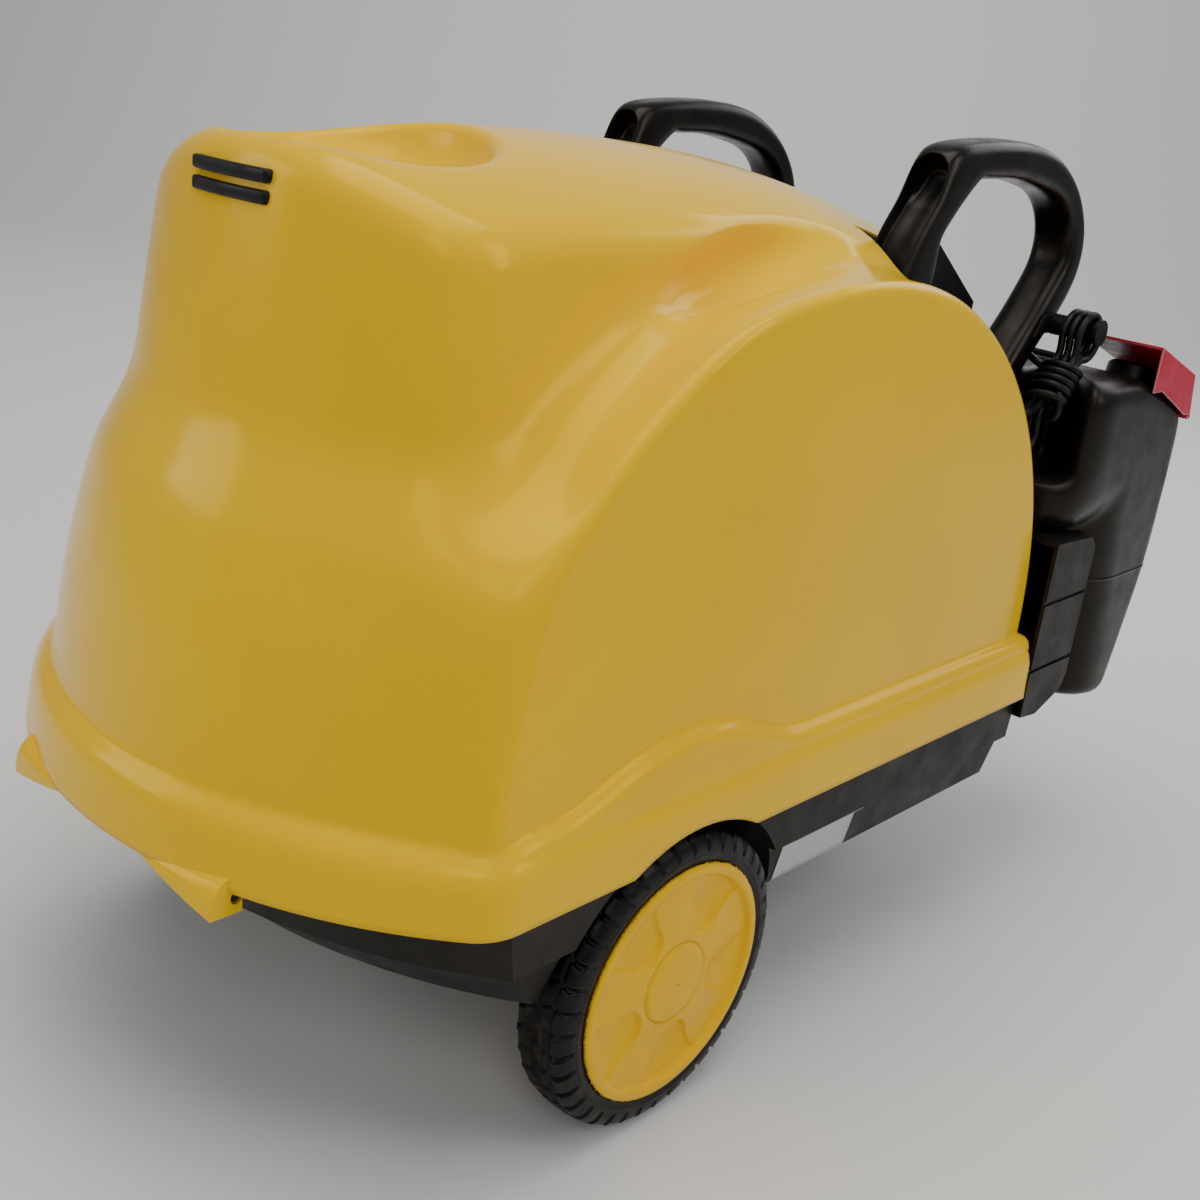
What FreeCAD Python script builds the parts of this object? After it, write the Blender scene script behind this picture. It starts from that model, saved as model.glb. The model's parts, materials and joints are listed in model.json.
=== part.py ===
import FreeCAD, Part
import math
import os
import re
from FreeCAD import Matrix, Placement, Rotation, Vector

# Driving dimensions in millimetres.
# X is across the machine, Y runs from the bow to the tanks, Z is up from the floor.
DIMENSIONS = {
    "half_width": 338,
    "wheel_radius": 150, "wheel_y": -250, "tyre_outer_x": 330, "rim_radius": 118,
    "rim_proud": 5, "axle_radius": 10, "running_gap": 0.05, "hub_radius": 24, "hub_cap_radius": 38,
    "rim_pockets": 5,
    "castor_y": 262, "castor_radius": 62, "castor_width": 34, "castor_trail": 34,
    "pan_floor": 186, "pan_top": 288, "pan_wall": 5, "pan_tail": 346.9,
    "skirt_bottom": 292, "skirt_top": 363, "hood_wall": 5, "hood_tail": 344, "body_half_width": 318,
    "deck_half_width": 197, "crown_top": 865, "cheek_radius": 415, "cheek_y": -70, "cheek_z": 372,
    "hinge_y": -607, "hinge_z": 284, "hinge_pin_radius": 4, "lug_outer_x": 156, "lug_inner_x": 86,
    "dish_y": -400, "dish_half_width": 188, "dish_half_length": 126, "dish_depth": 80, "flue_radius": 55,
    "arch_radius": 164, "flare_radius": 253, "flare_y": -265,
    "handle_x": 207, "handle_width": 54,
    "boiler_radius": 110, "boiler_floor": 196, "boiler_top": 680,
    "motor_y": 30, "motor_z": 305, "motor_radius": 78,
    "wall_front": 347, "wall_back": 448, "wall_bottom": 264, "wall_top": 476,
    "tank_inner_x": 64, "tank_outer_x": 335, "tank_wall": 4, "tank_tilt": 17.2,
    "console_half_width": 172, "console_front": 222, "panel_tilt": 33.7,
    "cord_diameter": 8.5, "fold_radius": 25.5, "waist_half": 4.5, "layer_step": 9.5, "wrap_radius": 15.4,
}

document = FreeCAD.newDocument("pressure_washer")
sheet = document.addObject("Spreadsheet::Sheet", "dims")
for row, (alias, number) in enumerate(DIMENSIONS.items(), start=1):
    sheet.set(f"A{row}", alias)
    sheet.set(f"B{row}", str(number))
    sheet.setAlias(f"B{row}", alias)
document.recompute()

NODES = {}


def mm(alias):
    """The number that the spreadsheet holds under an alias."""
    return float(sheet.get(alias))


def value(formula):
    """A formula of driving dimensions worked out by the spreadsheet."""
    if not isinstance(formula, str):
        return float(formula)
    sheet.set("D1", "=" + formula)
    sheet.recompute()
    return float(sheet.get("D1"))


def linked(formula):
    """The same formula with every alias pointed at the spreadsheet."""
    def point_at_sheet(word):
        return "dims." + word.group() if word.group() in DIMENSIONS else word.group()
    return re.sub(r"[a-z_]+", point_at_sheet, str(formula))


def place(item, at, turn=None):
    """Bind an object's position, and turn it by (axis, degrees)."""
    if turn:
        item.Placement = Placement(Vector(), Rotation(Vector(*turn[0]), turn[1]))
    for letter, formula in zip("xyz", at):
        item.setExpression(f"Placement.Base.{letter}", linked(formula))
    return item


def primitive(kind, name, at=(0, 0, 0), turn=None, **sizes):
    """A box, cylinder, cone, sphere or torus with its sizes bound to the sheet."""
    item = document.addObject("Part::" + kind, name)
    for size, formula in sizes.items():
        item.setExpression(size, linked(formula))
    return place(item, at, turn)


def fused(name, *pieces):
    item = document.addObject("Part::MultiFuse", name)
    item.Shapes = list(pieces)
    return item


def cut(name, base, *tools):
    item = document.addObject("Part::Cut", name)
    item.Base = base
    item.Tool = tools[0] if len(tools) == 1 else fused(name + "_tools", *tools)
    return item


def node(label, item):
    """Register a finished sub-part under the name of its file."""
    item.Label = label
    NODES[label] = item
    return item


def shaped(label, shape):
    """A sub-part whose form needs lofts and sweeps made straight from curves."""
    item = document.addObject("Part::Feature", label)
    item.Shape = shape
    return node(label, item)


def origin_plane(body, role):
    return next(feature for feature in body.Origin.OriginFeatures if feature.Role == role)


def sketch_on(body, name, role="XZ_Plane"):
    sketch = body.newObject("Sketcher::SketchObject", name)
    sketch.AttachmentSupport = [(origin_plane(body, role), "")]
    sketch.MapMode = "FlatFace"
    return sketch


def outline(sketch, corners):
    """A closed polygon whose corner coordinates are constraints bound to the sheet."""
    import Sketcher
    points = [Vector(value(u), value(v), 0) for u, v in corners]
    for start, end in zip(points, points[1:] + points[:1]):
        sketch.addGeometry(Part.LineSegment(start, end))
    for index in range(len(points)):
        sketch.addConstraint(Sketcher.Constraint("Coincident", index - 1 if index else len(points) - 1, 2, index, 1))
    for index, (u, v) in enumerate(corners):
        for kind, formula, at in (("DistanceX", u, points[index].x), ("DistanceY", v, points[index].y)):
            number = sketch.addConstraint(Sketcher.Constraint(kind, -1, 1, index, 1, at))
            if isinstance(formula, str):
                sketch.setExpression(f"Constraints[{number}]", linked(formula))


def turned_body(label, corners, at=(0, 0, 0), turn=None):
    """A body of revolution: corners are (radius, height), and height runs along its own Z axis."""
    body = document.addObject("PartDesign::Body", label + "_body")
    sketch = sketch_on(body, label + "_outline")
    outline(sketch, corners)
    revolution = body.newObject("PartDesign::Revolution", label + "_turning")
    revolution.Profile = sketch
    revolution.ReferenceAxis = (sketch, ["V_Axis"])
    revolution.Angle = 360
    body.Tip = revolution
    return place(body, at, turn)


def turned(label, corners, at=(0, 0, 0), turn=None):
    """A sub-part that is one body of revolution."""
    return node(label, turned_body(label, corners, at, turn))


def padded_body(label, corners, length, at=(0, 0, 0)):
    """A body whose (Y, Z) outline is padded along X about a middle plane."""
    body = document.addObject("PartDesign::Body", label + "_body")
    sketch = sketch_on(body, label + "_outline", "YZ_Plane")
    outline(sketch, corners)
    pad = body.newObject("PartDesign::Pad", label + "_pad")
    pad.Profile = sketch
    pad.setExpression("Length", linked(length))
    pad.Midplane = True
    body.Tip = pad
    return place(body, at)


def wire(*edges):
    return Part.Wire(list(edges))


def line(start, end):
    return Part.makeLine(Vector(*start), Vector(*end))


def arc(start, middle, end):
    return Part.Arc(Vector(*start), Vector(*middle), Vector(*end)).toShape()


def bend(start, corner, end):
    """An arc from start to end, both equally far from the corner where their tangents meet; with its radius."""
    back, ahead = (start - corner).normalize(), (end - corner).normalize()
    reach, half_turn = start.distanceToPoint(corner), (math.pi - back.getAngle(ahead)) / 2
    radius = reach / math.tan(half_turn)
    middle = corner + (back + ahead).normalize() * (radius / math.cos(half_turn) - radius)
    return Part.Arc(start, middle, end).toShape(), radius


def rounded_outline(x, corners):
    """A closed outline at one X whose (Y, Z, radius) corners are rounded where the radius isn't nought."""
    points = [Vector(x, y, z) for y, z, radius in corners]
    edges, start = [], None
    for index, (y, z, radius) in enumerate(corners + corners[:1]):
        corner = points[index % len(points)]
        back = points[(index - 1) % len(points)] - corner
        ahead = points[(index + 1) % len(points)] - corner
        reach = radius * math.tan((math.pi - back.getAngle(ahead)) / 2)
        into, out = corner + back.normalize() * reach, corner + ahead.normalize() * reach
        if start:
            edges.append(Part.makeLine(start, into))
        if radius and index < len(corners):
            edges.append(bend(into, corner, out)[0])
        start = out
    return Part.Wire(edges)


def spline(points):
    curve = Part.BSplineCurve()
    curve.interpolate([Vector(*point) for point in points])
    return curve.toShape()


def mirrored_pair(shape):
    """A shape for one side of the machine joined by its twin on the other side."""
    return [shape, shape.mirror(Vector(), Vector(1, 0, 0))]


# Hood: a one-piece moulded shell that tilts forward on two lugs under its bow.

def plan_outline(z, half_width, bow_y, corner_y, tail_y):
    """Plan of the skirt at one height: a bow arc, two straight sides and a straight tail."""
    left, right = (-half_width, corner_y, z), (half_width, corner_y, z)
    return wire(arc(left, (0, bow_y, z), right), line(right, (half_width, tail_y, z)),
                line((half_width, tail_y, z), (-half_width, tail_y, z)), line((-half_width, tail_y, z), left))


def skirt_form(inset, drop):
    """Skirt that leans in a little and rounds over to the step where the body starts."""
    tail = mm("hood_tail") + inset * 4
    rows = [(mm("skirt_bottom") - drop, 338, -643, -495), (336 - inset, 336, -636, -492),
            (353 - inset, 330, -627, -486), (mm("skirt_top") + 3 - inset, 314, -610, -474)]
    return Part.makeLoft([plan_outline(z, width - inset, bow + inset, corner + inset, tail)
                          for z, width, bow, corner in rows], True, True)


def tower_outline(z, width, bow_y, knee_x, knee_y, side_y, tail_y):
    """Plan of the central body: a bow arc, two knees and two straight sides."""
    middle_x = (knee_x + width) / 2 + (width - knee_x) * 0.2
    middle_y = (knee_y + side_y) / 2 - (side_y - knee_y) * 0.2
    return wire(arc((-knee_x, knee_y, z), (0, bow_y, z), (knee_x, knee_y, z)),
                arc((knee_x, knee_y, z), (middle_x, middle_y, z), (width, side_y, z)),
                line((width, side_y, z), (width, tail_y, z)), line((width, tail_y, z), (-width, tail_y, z)),
                line((-width, tail_y, z), (-width, side_y, z)),
                arc((-width, side_y, z), (-middle_x, middle_y, z), (-knee_x, knee_y, z)))


def crown_profile(x, drop, inset):
    """Side view of the deck: it rounds up from the bow, crests and falls away to the tail."""
    deck = [(-556, 740), (-546, 790), (-524, 828), (-486, 848), (-400, 859), (-250, 865), (-100, 862), (50, 848),
            (200, 818), (400, 762)]
    points = [(x, y + inset * (y < -500), z - drop - inset) for y, z in deck]
    first, last = points[0], points[-1]
    return wire(spline(points), line(last, (x, last[1], 200)), line((x, last[1], 200), (x, first[1], 200)),
                line((x, first[1], 200), first))


def tower_form(inset):
    """Central body under its arched deck."""
    tail = mm("hood_tail") + inset * 4
    rows = [(350, 226, -590, 172, -540, -470), (600, 214, -558, 166, -514, -448),
            (811, mm("deck_half_width"), -527, 152, -490, -430), (900, 190, -514, 147, -478, -420)]
    tower = Part.makeLoft([tower_outline(z, width - inset, bow + inset, knee - inset, knee_y + inset,
                                         side_y + inset, tail) for z, width, bow, knee, knee_y, side_y in rows],
                          True, False)
    crown = Part.makeLoft([crown_profile(x, 54 * (x / mm("deck_half_width")) ** 2, inset)
                           for x in (-300, -150, 0, 150, 300)], True, False)
    return tower.common(crown)


def apron_form(inset):
    """Flared foot of the bow: full-width arcs that lean back and sink into the body and cheeks."""
    rows = [(350, -613, -489), (450, -600, -481), (530, -583, -459), (590, -564, -425), (630, -546, -386),
            (665, -520, -345)]
    width = mm("body_half_width") - 0.5 - inset
    return Part.makeLoft([plan_outline(z - inset * (z > 400), width, bow + inset, corner + inset, 0)
                          for z, bow, corner in rows], True, False)


def cheek_profile(x, radius_at, inset):
    """Side view of a cheek: radii about the wheel-arch centre at even steps from tail to bow."""
    centre_y, centre_z = mm("cheek_y"), mm("cheek_z")
    points = []
    for degrees, radius in radius_at:
        angle = math.radians(degrees)
        points.append((x, centre_y + (radius - inset) * math.cos(angle), centre_z + (radius - inset) * math.sin(angle)))
    foot = 350
    first, last = points[0], points[-1]
    return wire(spline(points), line(last, (x, last[1], foot)), line((x, last[1], foot), (x, first[1], foot)),
                line((x, first[1], foot), first))


def cheek_form(inset):
    """Half-round side of the hood with the scooped shoulder that climbs from its rim to the body."""
    shoulder = [(0, 404), (20, 410), (40, 426), (60, 446), (78, 430), (95, 405), (112, 405), (127, 421),
                (140, 446), (151, 470), (165, 462), (180, 462)]
    rim = [(degrees, mm("cheek_radius")) for degrees, radius in shoulder]
    scoop = [(degrees, (radius + mm("cheek_radius")) / 2 - 7) for degrees, radius in shoulder]
    outer_x = mm("body_half_width") - inset
    return Part.makeLoft([cheek_profile(180, shoulder, inset), cheek_profile(262, scoop, inset),
                          cheek_profile(outer_x, rim, inset)], True, False)


def flare_form(inset):
    """Raised band over the wheel: a short drum with a bevelled rim."""
    radius, centre = mm("flare_radius") - inset, Vector(290, mm("flare_y"), mm("wheel_radius"))
    across = Vector(1, 0, 0)
    drum = Part.makeCylinder(radius, 38 - inset, centre, across)
    rim = Part.makeCone(radius, radius - 9, 9, centre + Vector(38 - inset, 0, 0), across)
    keep = Part.makeBox(100, 700, 400, Vector(270, -600, mm("skirt_bottom") - (20 if inset else 0)))
    return drum.fuse(rim).common(keep)


def hood_form(inset, drop=0):
    """Outer form of the hood, or its hollow when inset by the wall."""
    form = skirt_form(inset, drop).fuse(tower_form(inset)).fuse(apron_form(inset))
    for side in mirrored_pair(cheek_form(inset)) + mirrored_pair(flare_form(inset)):
        form = form.fuse(side)
    tail = mm("hood_tail") + inset * 4
    return form.common(Part.makeBox(700, 700 + tail, 700, Vector(-350, -700, 200)))


def bowl(grow):
    """Elliptic dish sunk into the deck round the flue opening."""
    stretch = Matrix()
    stretch.scale(mm("dish_half_width") + grow, mm("dish_half_length") + grow, mm("dish_depth") + grow)
    ball = Part.makeSphere(1).transformGeometry(stretch)
    ball.translate(Vector(0, mm("dish_y"), mm("crown_top") + 2))
    return ball


def shoulder_scoop(grow):
    """Long shallow scoop in the side of the body where the shoulder meets it."""
    stretch = Matrix()
    stretch.scale(36 + grow, 150 + grow, 34 + grow)
    ball = Part.makeSphere(1).transformGeometry(stretch)
    ball.rotate(Vector(), Vector(1, 0, 0), 16)
    ball.translate(Vector(222, -100, 790))
    return ball


def lug(grow=0):
    """Hinge lug under the bow: a round-topped face that tapers inwards into the skirt."""
    y, z = mm("hinge_y"), mm("hinge_z")

    def face(x, back, front, low, top):
        return wire(line((x, back, top), (x, back, low)), arc((x, back, low), (x, (back + front) / 2, low - 3),
                                                             (x, front, low + 5)),
                    line((x, front, low + 5), (x, front, top)), line((x, front, top), (x, back, top)))
    body = Part.makeLoft([face(mm("lug_outer_x"), y + 12, y - 18, z - 14, z + 24),
                          face(mm("lug_inner_x"), y + 2, y - 18, z + 8, z + 24)], True, True)
    bore = Part.makeCylinder(mm("hinge_pin_radius") + mm("running_gap"), 120, Vector(60, y, z), Vector(1, 0, 0))
    return body.cut(bore)


def hood_shell():
    """The whole shell: its wall, dish, flue opening, wheel arches, lugs and the gap round the console."""
    wall, tail = mm("hood_wall"), mm("hood_tail")
    outer = hood_form(0).cut(bowl(0))
    hollow = hood_form(wall, 12).cut(bowl(wall))
    for side in mirrored_pair(shoulder_scoop(0)):
        outer = outer.cut(side)
    for side in mirrored_pair(shoulder_scoop(wall)):
        hollow = hollow.cut(side)
    shell = outer.cut(hollow)
    for side in mirrored_pair(lug()):
        shell = shell.fuse(side)
    wheel = Part.makeCylinder(mm("arch_radius"), 120, Vector(262, mm("wheel_y"), mm("wheel_radius")), Vector(1, 0, 0))
    flue = Part.makeCylinder(mm("flue_radius") + 7, 200, Vector(0, mm("dish_y"), 700))
    console = Part.makeBox(332, 300, 600, Vector(-166, mm("console_front") - 6, 340))
    notch = Part.makeBox(90, 400, 600, Vector(164, 88, 340))
    for tool in mirrored_pair(wheel) + [flue, console] + mirrored_pair(notch):
        shell = shell.cut(tool)
    return shell


def rest_bars():
    """Two rubber bars on the upper bow: the open hood lies on them on the floor."""
    skin = tower_form(-8).cut(tower_form(0))
    low, high = (Part.makeBox(100, 80, 11, Vector(-50, -560, z)) for z in (796, 817))
    return skin.common(low.fuse(high))


shaped("hood_shell", hood_shell())
shaped("rest_bars", rest_bars())

# Chassis: a black tray with wheel wells, on an axle at the bow and one castor at the tail.

def pan_form(inset, top):
    """Outer form of the tray, or its hollow when inset by the wall."""
    rows = [(mm("pan_floor") + inset, 308, -520, -416, 336), (236, 317, -572, -452, 343),
            (238, 326, -582, -462, 345), (top, 328, -594, -472, mm("pan_tail"))]
    return Part.makeLoft([plan_outline(z, width - inset, bow + inset, corner + inset, tail_y - inset)
                          for z, width, bow, corner, tail_y in rows], True, True)


def chassis_pan():
    floor, wall, top = mm("pan_floor"), mm("pan_wall"), mm("pan_top")
    wheel_y, reach = mm("wheel_y"), mm("wheel_radius") + 15

    def wells(grow):
        drum = Part.makeCylinder(reach + grow, 100, Vector(258 - grow, wheel_y, mm("wheel_radius")), Vector(1, 0, 0))
        return mirrored_pair(drum)
    pan, hollow = pan_form(0, top), pan_form(wall, top + 20)
    for outer_well, inner_well in zip(wells(0), wells(wall)):
        pan = pan.cut(outer_well)
        hollow = hollow.cut(inner_well)
    boss = Part.makeBox(140, 140, 26, Vector(-70, mm("castor_y") - 70, floor - 26))
    pan = pan.cut(hollow).fuse(boss)
    for x in (-150, -50, 50, 150):
        pan = pan.fuse(Part.makeBox(4, 560, 14, Vector(x - 2, -240, floor + 1)))
    for y in (-130, 120):
        pan = pan.fuse(Part.makeBox(340, 4, 14, Vector(-170, y - 2, floor + 1)))
    return pan.removeSplitter()


def hinge_brackets():
    """Steel ears on the front of the tray that carry the hinge pins."""
    y, z, radius = mm("hinge_y"), mm("hinge_z"), 11
    ear = Part.makeBox(12, 40, 2 * radius, Vector(66, y, z - radius))
    ear = ear.fuse(Part.makeCylinder(radius, 12, Vector(66, y, z), Vector(1, 0, 0)))
    ear = ear.cut(pan_form(0, mm("pan_top"))).cut(Part.makeBox(30, 60, 60, Vector(60, -588, 260)))
    return Part.makeCompound([max(side.Solids, key=lambda solid: -solid.CenterOfMass.y)
                              for side in mirrored_pair(ear)])


shaped("chassis_pan", chassis_pan())
ears = document.addObject("Part::Feature", "hinge_ears")
ears.Shape = hinge_brackets()
pins = [primitive("Cylinder", f"hinge_pin_{side}", at=(f"{sign}109 - 45", "hinge_y", "hinge_z"),
                  turn=((0, 1, 0), 90), Radius="hinge_pin_radius", Height=90)
        for side, sign in (("right", ""), ("left", "-"))]
node("hinge_brackets", fused("hinge_set", ears, *pins))

axle_half = "tyre_outer_x - 14"
bar = turned_body("axle_bar", [(0, f"-({axle_half})"), ("axle_radius - 1", f"-({axle_half})"),
                               ("axle_radius", f"1 - ({axle_half})"), ("axle_radius", f"{axle_half} - 1"),
                               ("axle_radius - 1", axle_half), (0, axle_half)],
                  at=(0, "wheel_y", "wheel_radius"), turn=((0, 1, 0), 90))
blocks = []
for side, x in (("right", 200), ("left", -240)):
    block = primitive("Box", f"axle_block_{side}", at=(x, "wheel_y - 22", "wheel_radius - 20"),
                      Length=40, Width=44, Height="pan_floor - wheel_radius + 20")
    bore = primitive("Cylinder", f"axle_block_bore_{side}", at=(x - 5, "wheel_y", "wheel_radius"),
                     turn=((0, 1, 0), 90), Radius="axle_radius + 0.05", Height=50)
    blocks.append(cut(f"axle_block_{side}_bored", block, bore))
node("axle_blocks", fused("axle_block_pair", *blocks))
rings = [primitive("Cylinder", f"axle_ring_{side}", at=(x, "wheel_y", "wheel_radius"), turn=((0, 1, 0), 90),
                   Radius=17, Height=2) for side, x in (("right", 311.4), ("left", -313.4))]
node("front_axle", fused("axle_with_rings", bar, *rings))


# Wheels: a moulded rim with five teardrop pockets, a cleated tyre and a domed hub cap on each side.

RIM = [("axle_radius + running_gap", -58), ("hub_radius", -58), ("hub_radius", -24), (106, -15), (110, -15),
       (110, -58), ("rim_radius", -58), ("rim_radius", "rim_proud"), ("rim_radius - 5", "rim_proud"), (106, -4),
       (42, -6), ("hub_cap_radius + 0.5", -8), ("hub_cap_radius + 0.5", -11), (28, -11), (28, -19),
       ("axle_radius + running_gap", -19)]
TYRE = [("rim_radius + 0.1", -58), (134, -62), (144, -60), ("wheel_radius", -50), ("wheel_radius", -12), (144, -2),
        (134, 0), ("rim_radius + 0.1", -2)]
CAP = [(0, 5), (16, 4.2), (28, 1.6), ("hub_cap_radius", -4), ("hub_cap_radius", -10.9), ("hub_cap_radius - 8", -10.9),
       ("hub_cap_radius - 8", -5), (26, -1.4), (15, 1.2), (0, 1.9)]


def pocket_sketch(body, name):
    """Teardrop with its round end at the hub and a bowed outer edge."""
    import Sketcher
    sketch = sketch_on(body, name, "XY_Plane")

    def polar(radius, degrees):
        return Vector(radius * math.cos(math.radians(degrees)), radius * math.sin(math.radians(degrees)), 0)
    corners = [polar(98, -24), polar(98, 24), polar(54, 12), polar(54, -6)]
    middles = [polar(101, 0), polar(76, 22), polar(48, 3), polar(78, -20)]
    for index, middle in enumerate(middles):
        sketch.addGeometry(Part.Arc(corners[index], middle, corners[(index + 1) % 4]))
    for index in range(4):
        sketch.addConstraint(Sketcher.Constraint("Block", index))
    return sketch


def wheel(side, sign):
    """One wheel, turned about its own Z axis, which points away from the machine."""
    at = (f"{sign}tyre_outer_x", "wheel_y", "wheel_radius")
    outward = ((0, 1, 0), 90 if not sign else -90)
    rim = turned(f"{side}_rim", RIM, at, outward)
    document.recompute()
    pocket = rim.newObject("PartDesign::Pocket", f"{side}_rim_pocket")
    pocket.Profile = pocket_sketch(rim, f"{side}_rim_pocket_outline")
    pocket.Length = 9.5
    pocket.Reversed = False
    pocket.Midplane = False
    pattern = rim.newObject("PartDesign::PolarPattern", f"{side}_rim_pockets")
    pattern.Originals = [pocket]
    pattern.Axis = (origin_axis(rim, "Z_Axis"), [""])
    pattern.Angle = 360
    pattern.setExpression("Occurrences", linked("rim_pockets"))
    rim.Tip = pattern
    turned(f"{side}_tyre", TYRE, at, outward)
    turned(f"{side}_hub_cap", CAP, at, outward)
    return rim


def origin_axis(body, role):
    return next(feature for feature in body.Origin.OriginFeatures if feature.Role == role)


wheel("right", "")
wheel("left", "-")

# Castor: a swivel fork with its trailing wheel and a foot brake, under the tail of the tray.

castor_axle_y = "castor_y + castor_trail"
plate = primitive("Box", "castor_flange", at=(-45, "castor_y - 35", 156), Length=90, Width=70, Height=4)
kingpin = primitive("Cylinder", "castor_kingpin", at=(0, "castor_y", 142), Radius=6, Height=15)
head = primitive("Cylinder", "castor_kingpin_head", at=(0, "castor_y", 140), Radius=10, Height=5.7)
node("castor_plate", fused("castor_plate_form", plate, kingpin, head))

crown_disc = primitive("Cylinder", "fork_crown", at=(0, "castor_y", 146), Radius=32, Height=9.7)
crown_bore = primitive("Cylinder", "fork_bore", at=(0, "castor_y", 140), Radius="6 + running_gap", Height=30)
fork_pieces = []
for side, x in (("right", 20), ("left", -24)):
    upper = primitive("Box", f"fork_arm_{side}", at=(x, "castor_y - 12", 100), Length=4, Width=60, Height=50)
    lower = primitive("Box", f"fork_leg_{side}", at=(x, f"{castor_axle_y} - 14", "castor_radius"), Length=4,
                      Width=28, Height=60)
    eye = primitive("Cylinder", f"fork_eye_{side}", at=(x, castor_axle_y, "castor_radius"), turn=((0, 1, 0), 90),
                    Radius=14, Height=4)
    fork_pieces += [upper, lower, eye]
pivot = primitive("Cylinder", "brake_pivot", at=(-24, 318, 130), turn=((0, 1, 0), 90), Radius=2.5, Height=48)
ear_right = primitive("Box", "brake_ear_right", at=(20, 296, 118), Length=4, Width=28, Height=24)
ear_left = primitive("Box", "brake_ear_left", at=(-24, 296, 118), Length=4, Width=28, Height=24)
axle_pin = primitive("Cylinder", "castor_axle_pin", at=(-28, castor_axle_y, "castor_radius"),
                     turn=((0, 1, 0), 90), Radius=5, Height=56)
fork_solid = fused("fork_solid", crown_disc, pivot, axle_pin, ear_right, ear_left, *fork_pieces)
node("castor_fork", cut("fork_bored", fork_solid, crown_bore))
half = "castor_width / 2"
turned("castor_rim", [("5 + running_gap", -19.6), (12, -19.6), (12, -8), (40, -6), (40, f"1 - {half}"),
                      (46, f"1 - {half}"), (46, f"{half} - 1"), (40, f"{half} - 1"), (40, 6), (12, 8), (12, 19.6),
                      ("5 + running_gap", 19.6)],
       at=(0, castor_axle_y, "castor_radius"), turn=((0, 1, 0), 90))
turned("castor_tyre", [(46.1, f"1 - {half}"), (56, f"-({half})"), ("castor_radius", -11), ("castor_radius", 11),
                       (56, half), (46.1, f"{half} - 1")],
       at=(0, castor_axle_y, "castor_radius"), turn=((0, 1, 0), 90))

boss = primitive("Cylinder", "brake_boss", at=(-19, 318, 130), turn=((0, 1, 0), 90), Radius=6.5, Height=38)
tread = primitive("Box", "brake_tread", at=(-19, 318, 126), Length=38, Width=38, Height=6)
shoe = primitive("Box", "brake_shoe", at=(-14, 316, 110), Length=28, Width=14, Height=18)
pivot_hole = primitive("Cylinder", "brake_hole", at=(-30, 318, 130), turn=((0, 1, 0), 90),
                       Radius="2.5 + running_gap", Height=60)
swept = primitive("Cylinder", "brake_clearance", at=(-30, castor_axle_y, "castor_radius"), turn=((0, 1, 0), 90),
                  Radius="castor_radius + 1.9", Height=60)
node("castor_brake", cut("brake_form", fused("brake_solid", boss, tread, shoe), pivot_hole, swept))

# Frame and handles: two steel plates stand in the tray and carry the looped handles.

PLATE = [(130, 191.2), (326, 191.2), (331, 236), (338, 289.5), (346.5, 290), (346.5, 600), (338, 620), (20, 620),
         (20, 560), (130, 430)]


node("right_frame_plate", padded_body("right_frame_plate", PLATE, 3, at=(178.5, 0, 0)))
node("left_frame_plate", padded_body("left_frame_plate", PLATE, 3, at=(-178.5, 0, 0)))


def handle():
    """Closed loop with a broad flat foot, a scooped front leg and a grip that runs back over the tanks."""
    x = mm("handle_x") - mm("handle_width") / 2

    outer = rounded_outline(x, [(20, 560, 0), (27, 590, 0), (149, 894, 22), (272, 903, 300), (428, 893, 70),
                                (486, 794, 34), (423, 727, 200), (386, 677, 0), (322, 590, 0), (330, 560, 0)])
    inner = rounded_outline(x, [(64, 596, 12), (134, 768, 60), (152, 852, 40), (272, 864, 300), (424, 858, 40),
                                (448, 796, 34), (412, 742, 200), (300, 596, 12)])
    across = Vector(mm("handle_width"), 0, 0)
    loop = Part.Face(outer).extrude(across).cut(Part.Face(inner).extrude(across))
    long_edges = [edge for edge in loop.Edges if edge.BoundBox.XLength < 1 and edge.BoundBox.ZMin > 589]
    loop = loop.makeFillet(7, long_edges)
    lean = Vector(0, 79, 197).normalize()
    scoop = Part.makeCylinder(20, 250, Vector(mm("handle_x"), 31.7, 617.8), lean)
    holes = [Part.makeCylinder(4.1, 80, Vector(x - 10, y, 577), Vector(1, 0, 0)) for y in (75, 290)]
    for tool in [scoop] + holes:
        loop = loop.cut(tool)
    return loop


right_handle, left_handle = mirrored_pair(handle())
shaped("right_handle", right_handle)
shaped("left_handle", left_handle)
bolts = []
for side, turn in (("", 90), ("-", -90)):
    for y in (75, 290):
        foot = (f"{side}180.1", y, 577)
        shank = primitive("Cylinder", "bolt_shank", at=foot, turn=((0, 1, 0), turn), Radius=4, Height=54)
        head = primitive("Cylinder", "bolt_head", at=(f"{side}234.1", y, 577), turn=((0, 1, 0), turn), Radius=8,
                         Height=5)
        bolts += [shank, head]
node("handle_bolts", fused("handle_bolt_set", *bolts))

# Boiler: an upright jacket under the dish, with its lid, flue and heat exchanger.

turned("boiler_jacket", [("boiler_radius - 3", "boiler_floor"), ("boiler_radius", "boiler_floor"),
                         ("boiler_radius", "boiler_top"), ("boiler_radius - 3", "boiler_top")],
       at=(0, "dish_y", 0))
turned("boiler_lid", [("flue_radius - 3", 776), ("flue_radius", 776), ("flue_radius", "boiler_top + 44"),
                      ("boiler_radius + 2", "boiler_top + 16"), ("boiler_radius + 2", "boiler_top"),
                      ("boiler_radius - 3", "boiler_top"), ("boiler_radius - 3", "boiler_top + 12"),
                      ("flue_radius - 3", "boiler_top + 40")], at=(0, "dish_y", 0))

# Drive line: pump, motor and burner fan share one shaft across the machine.

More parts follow.
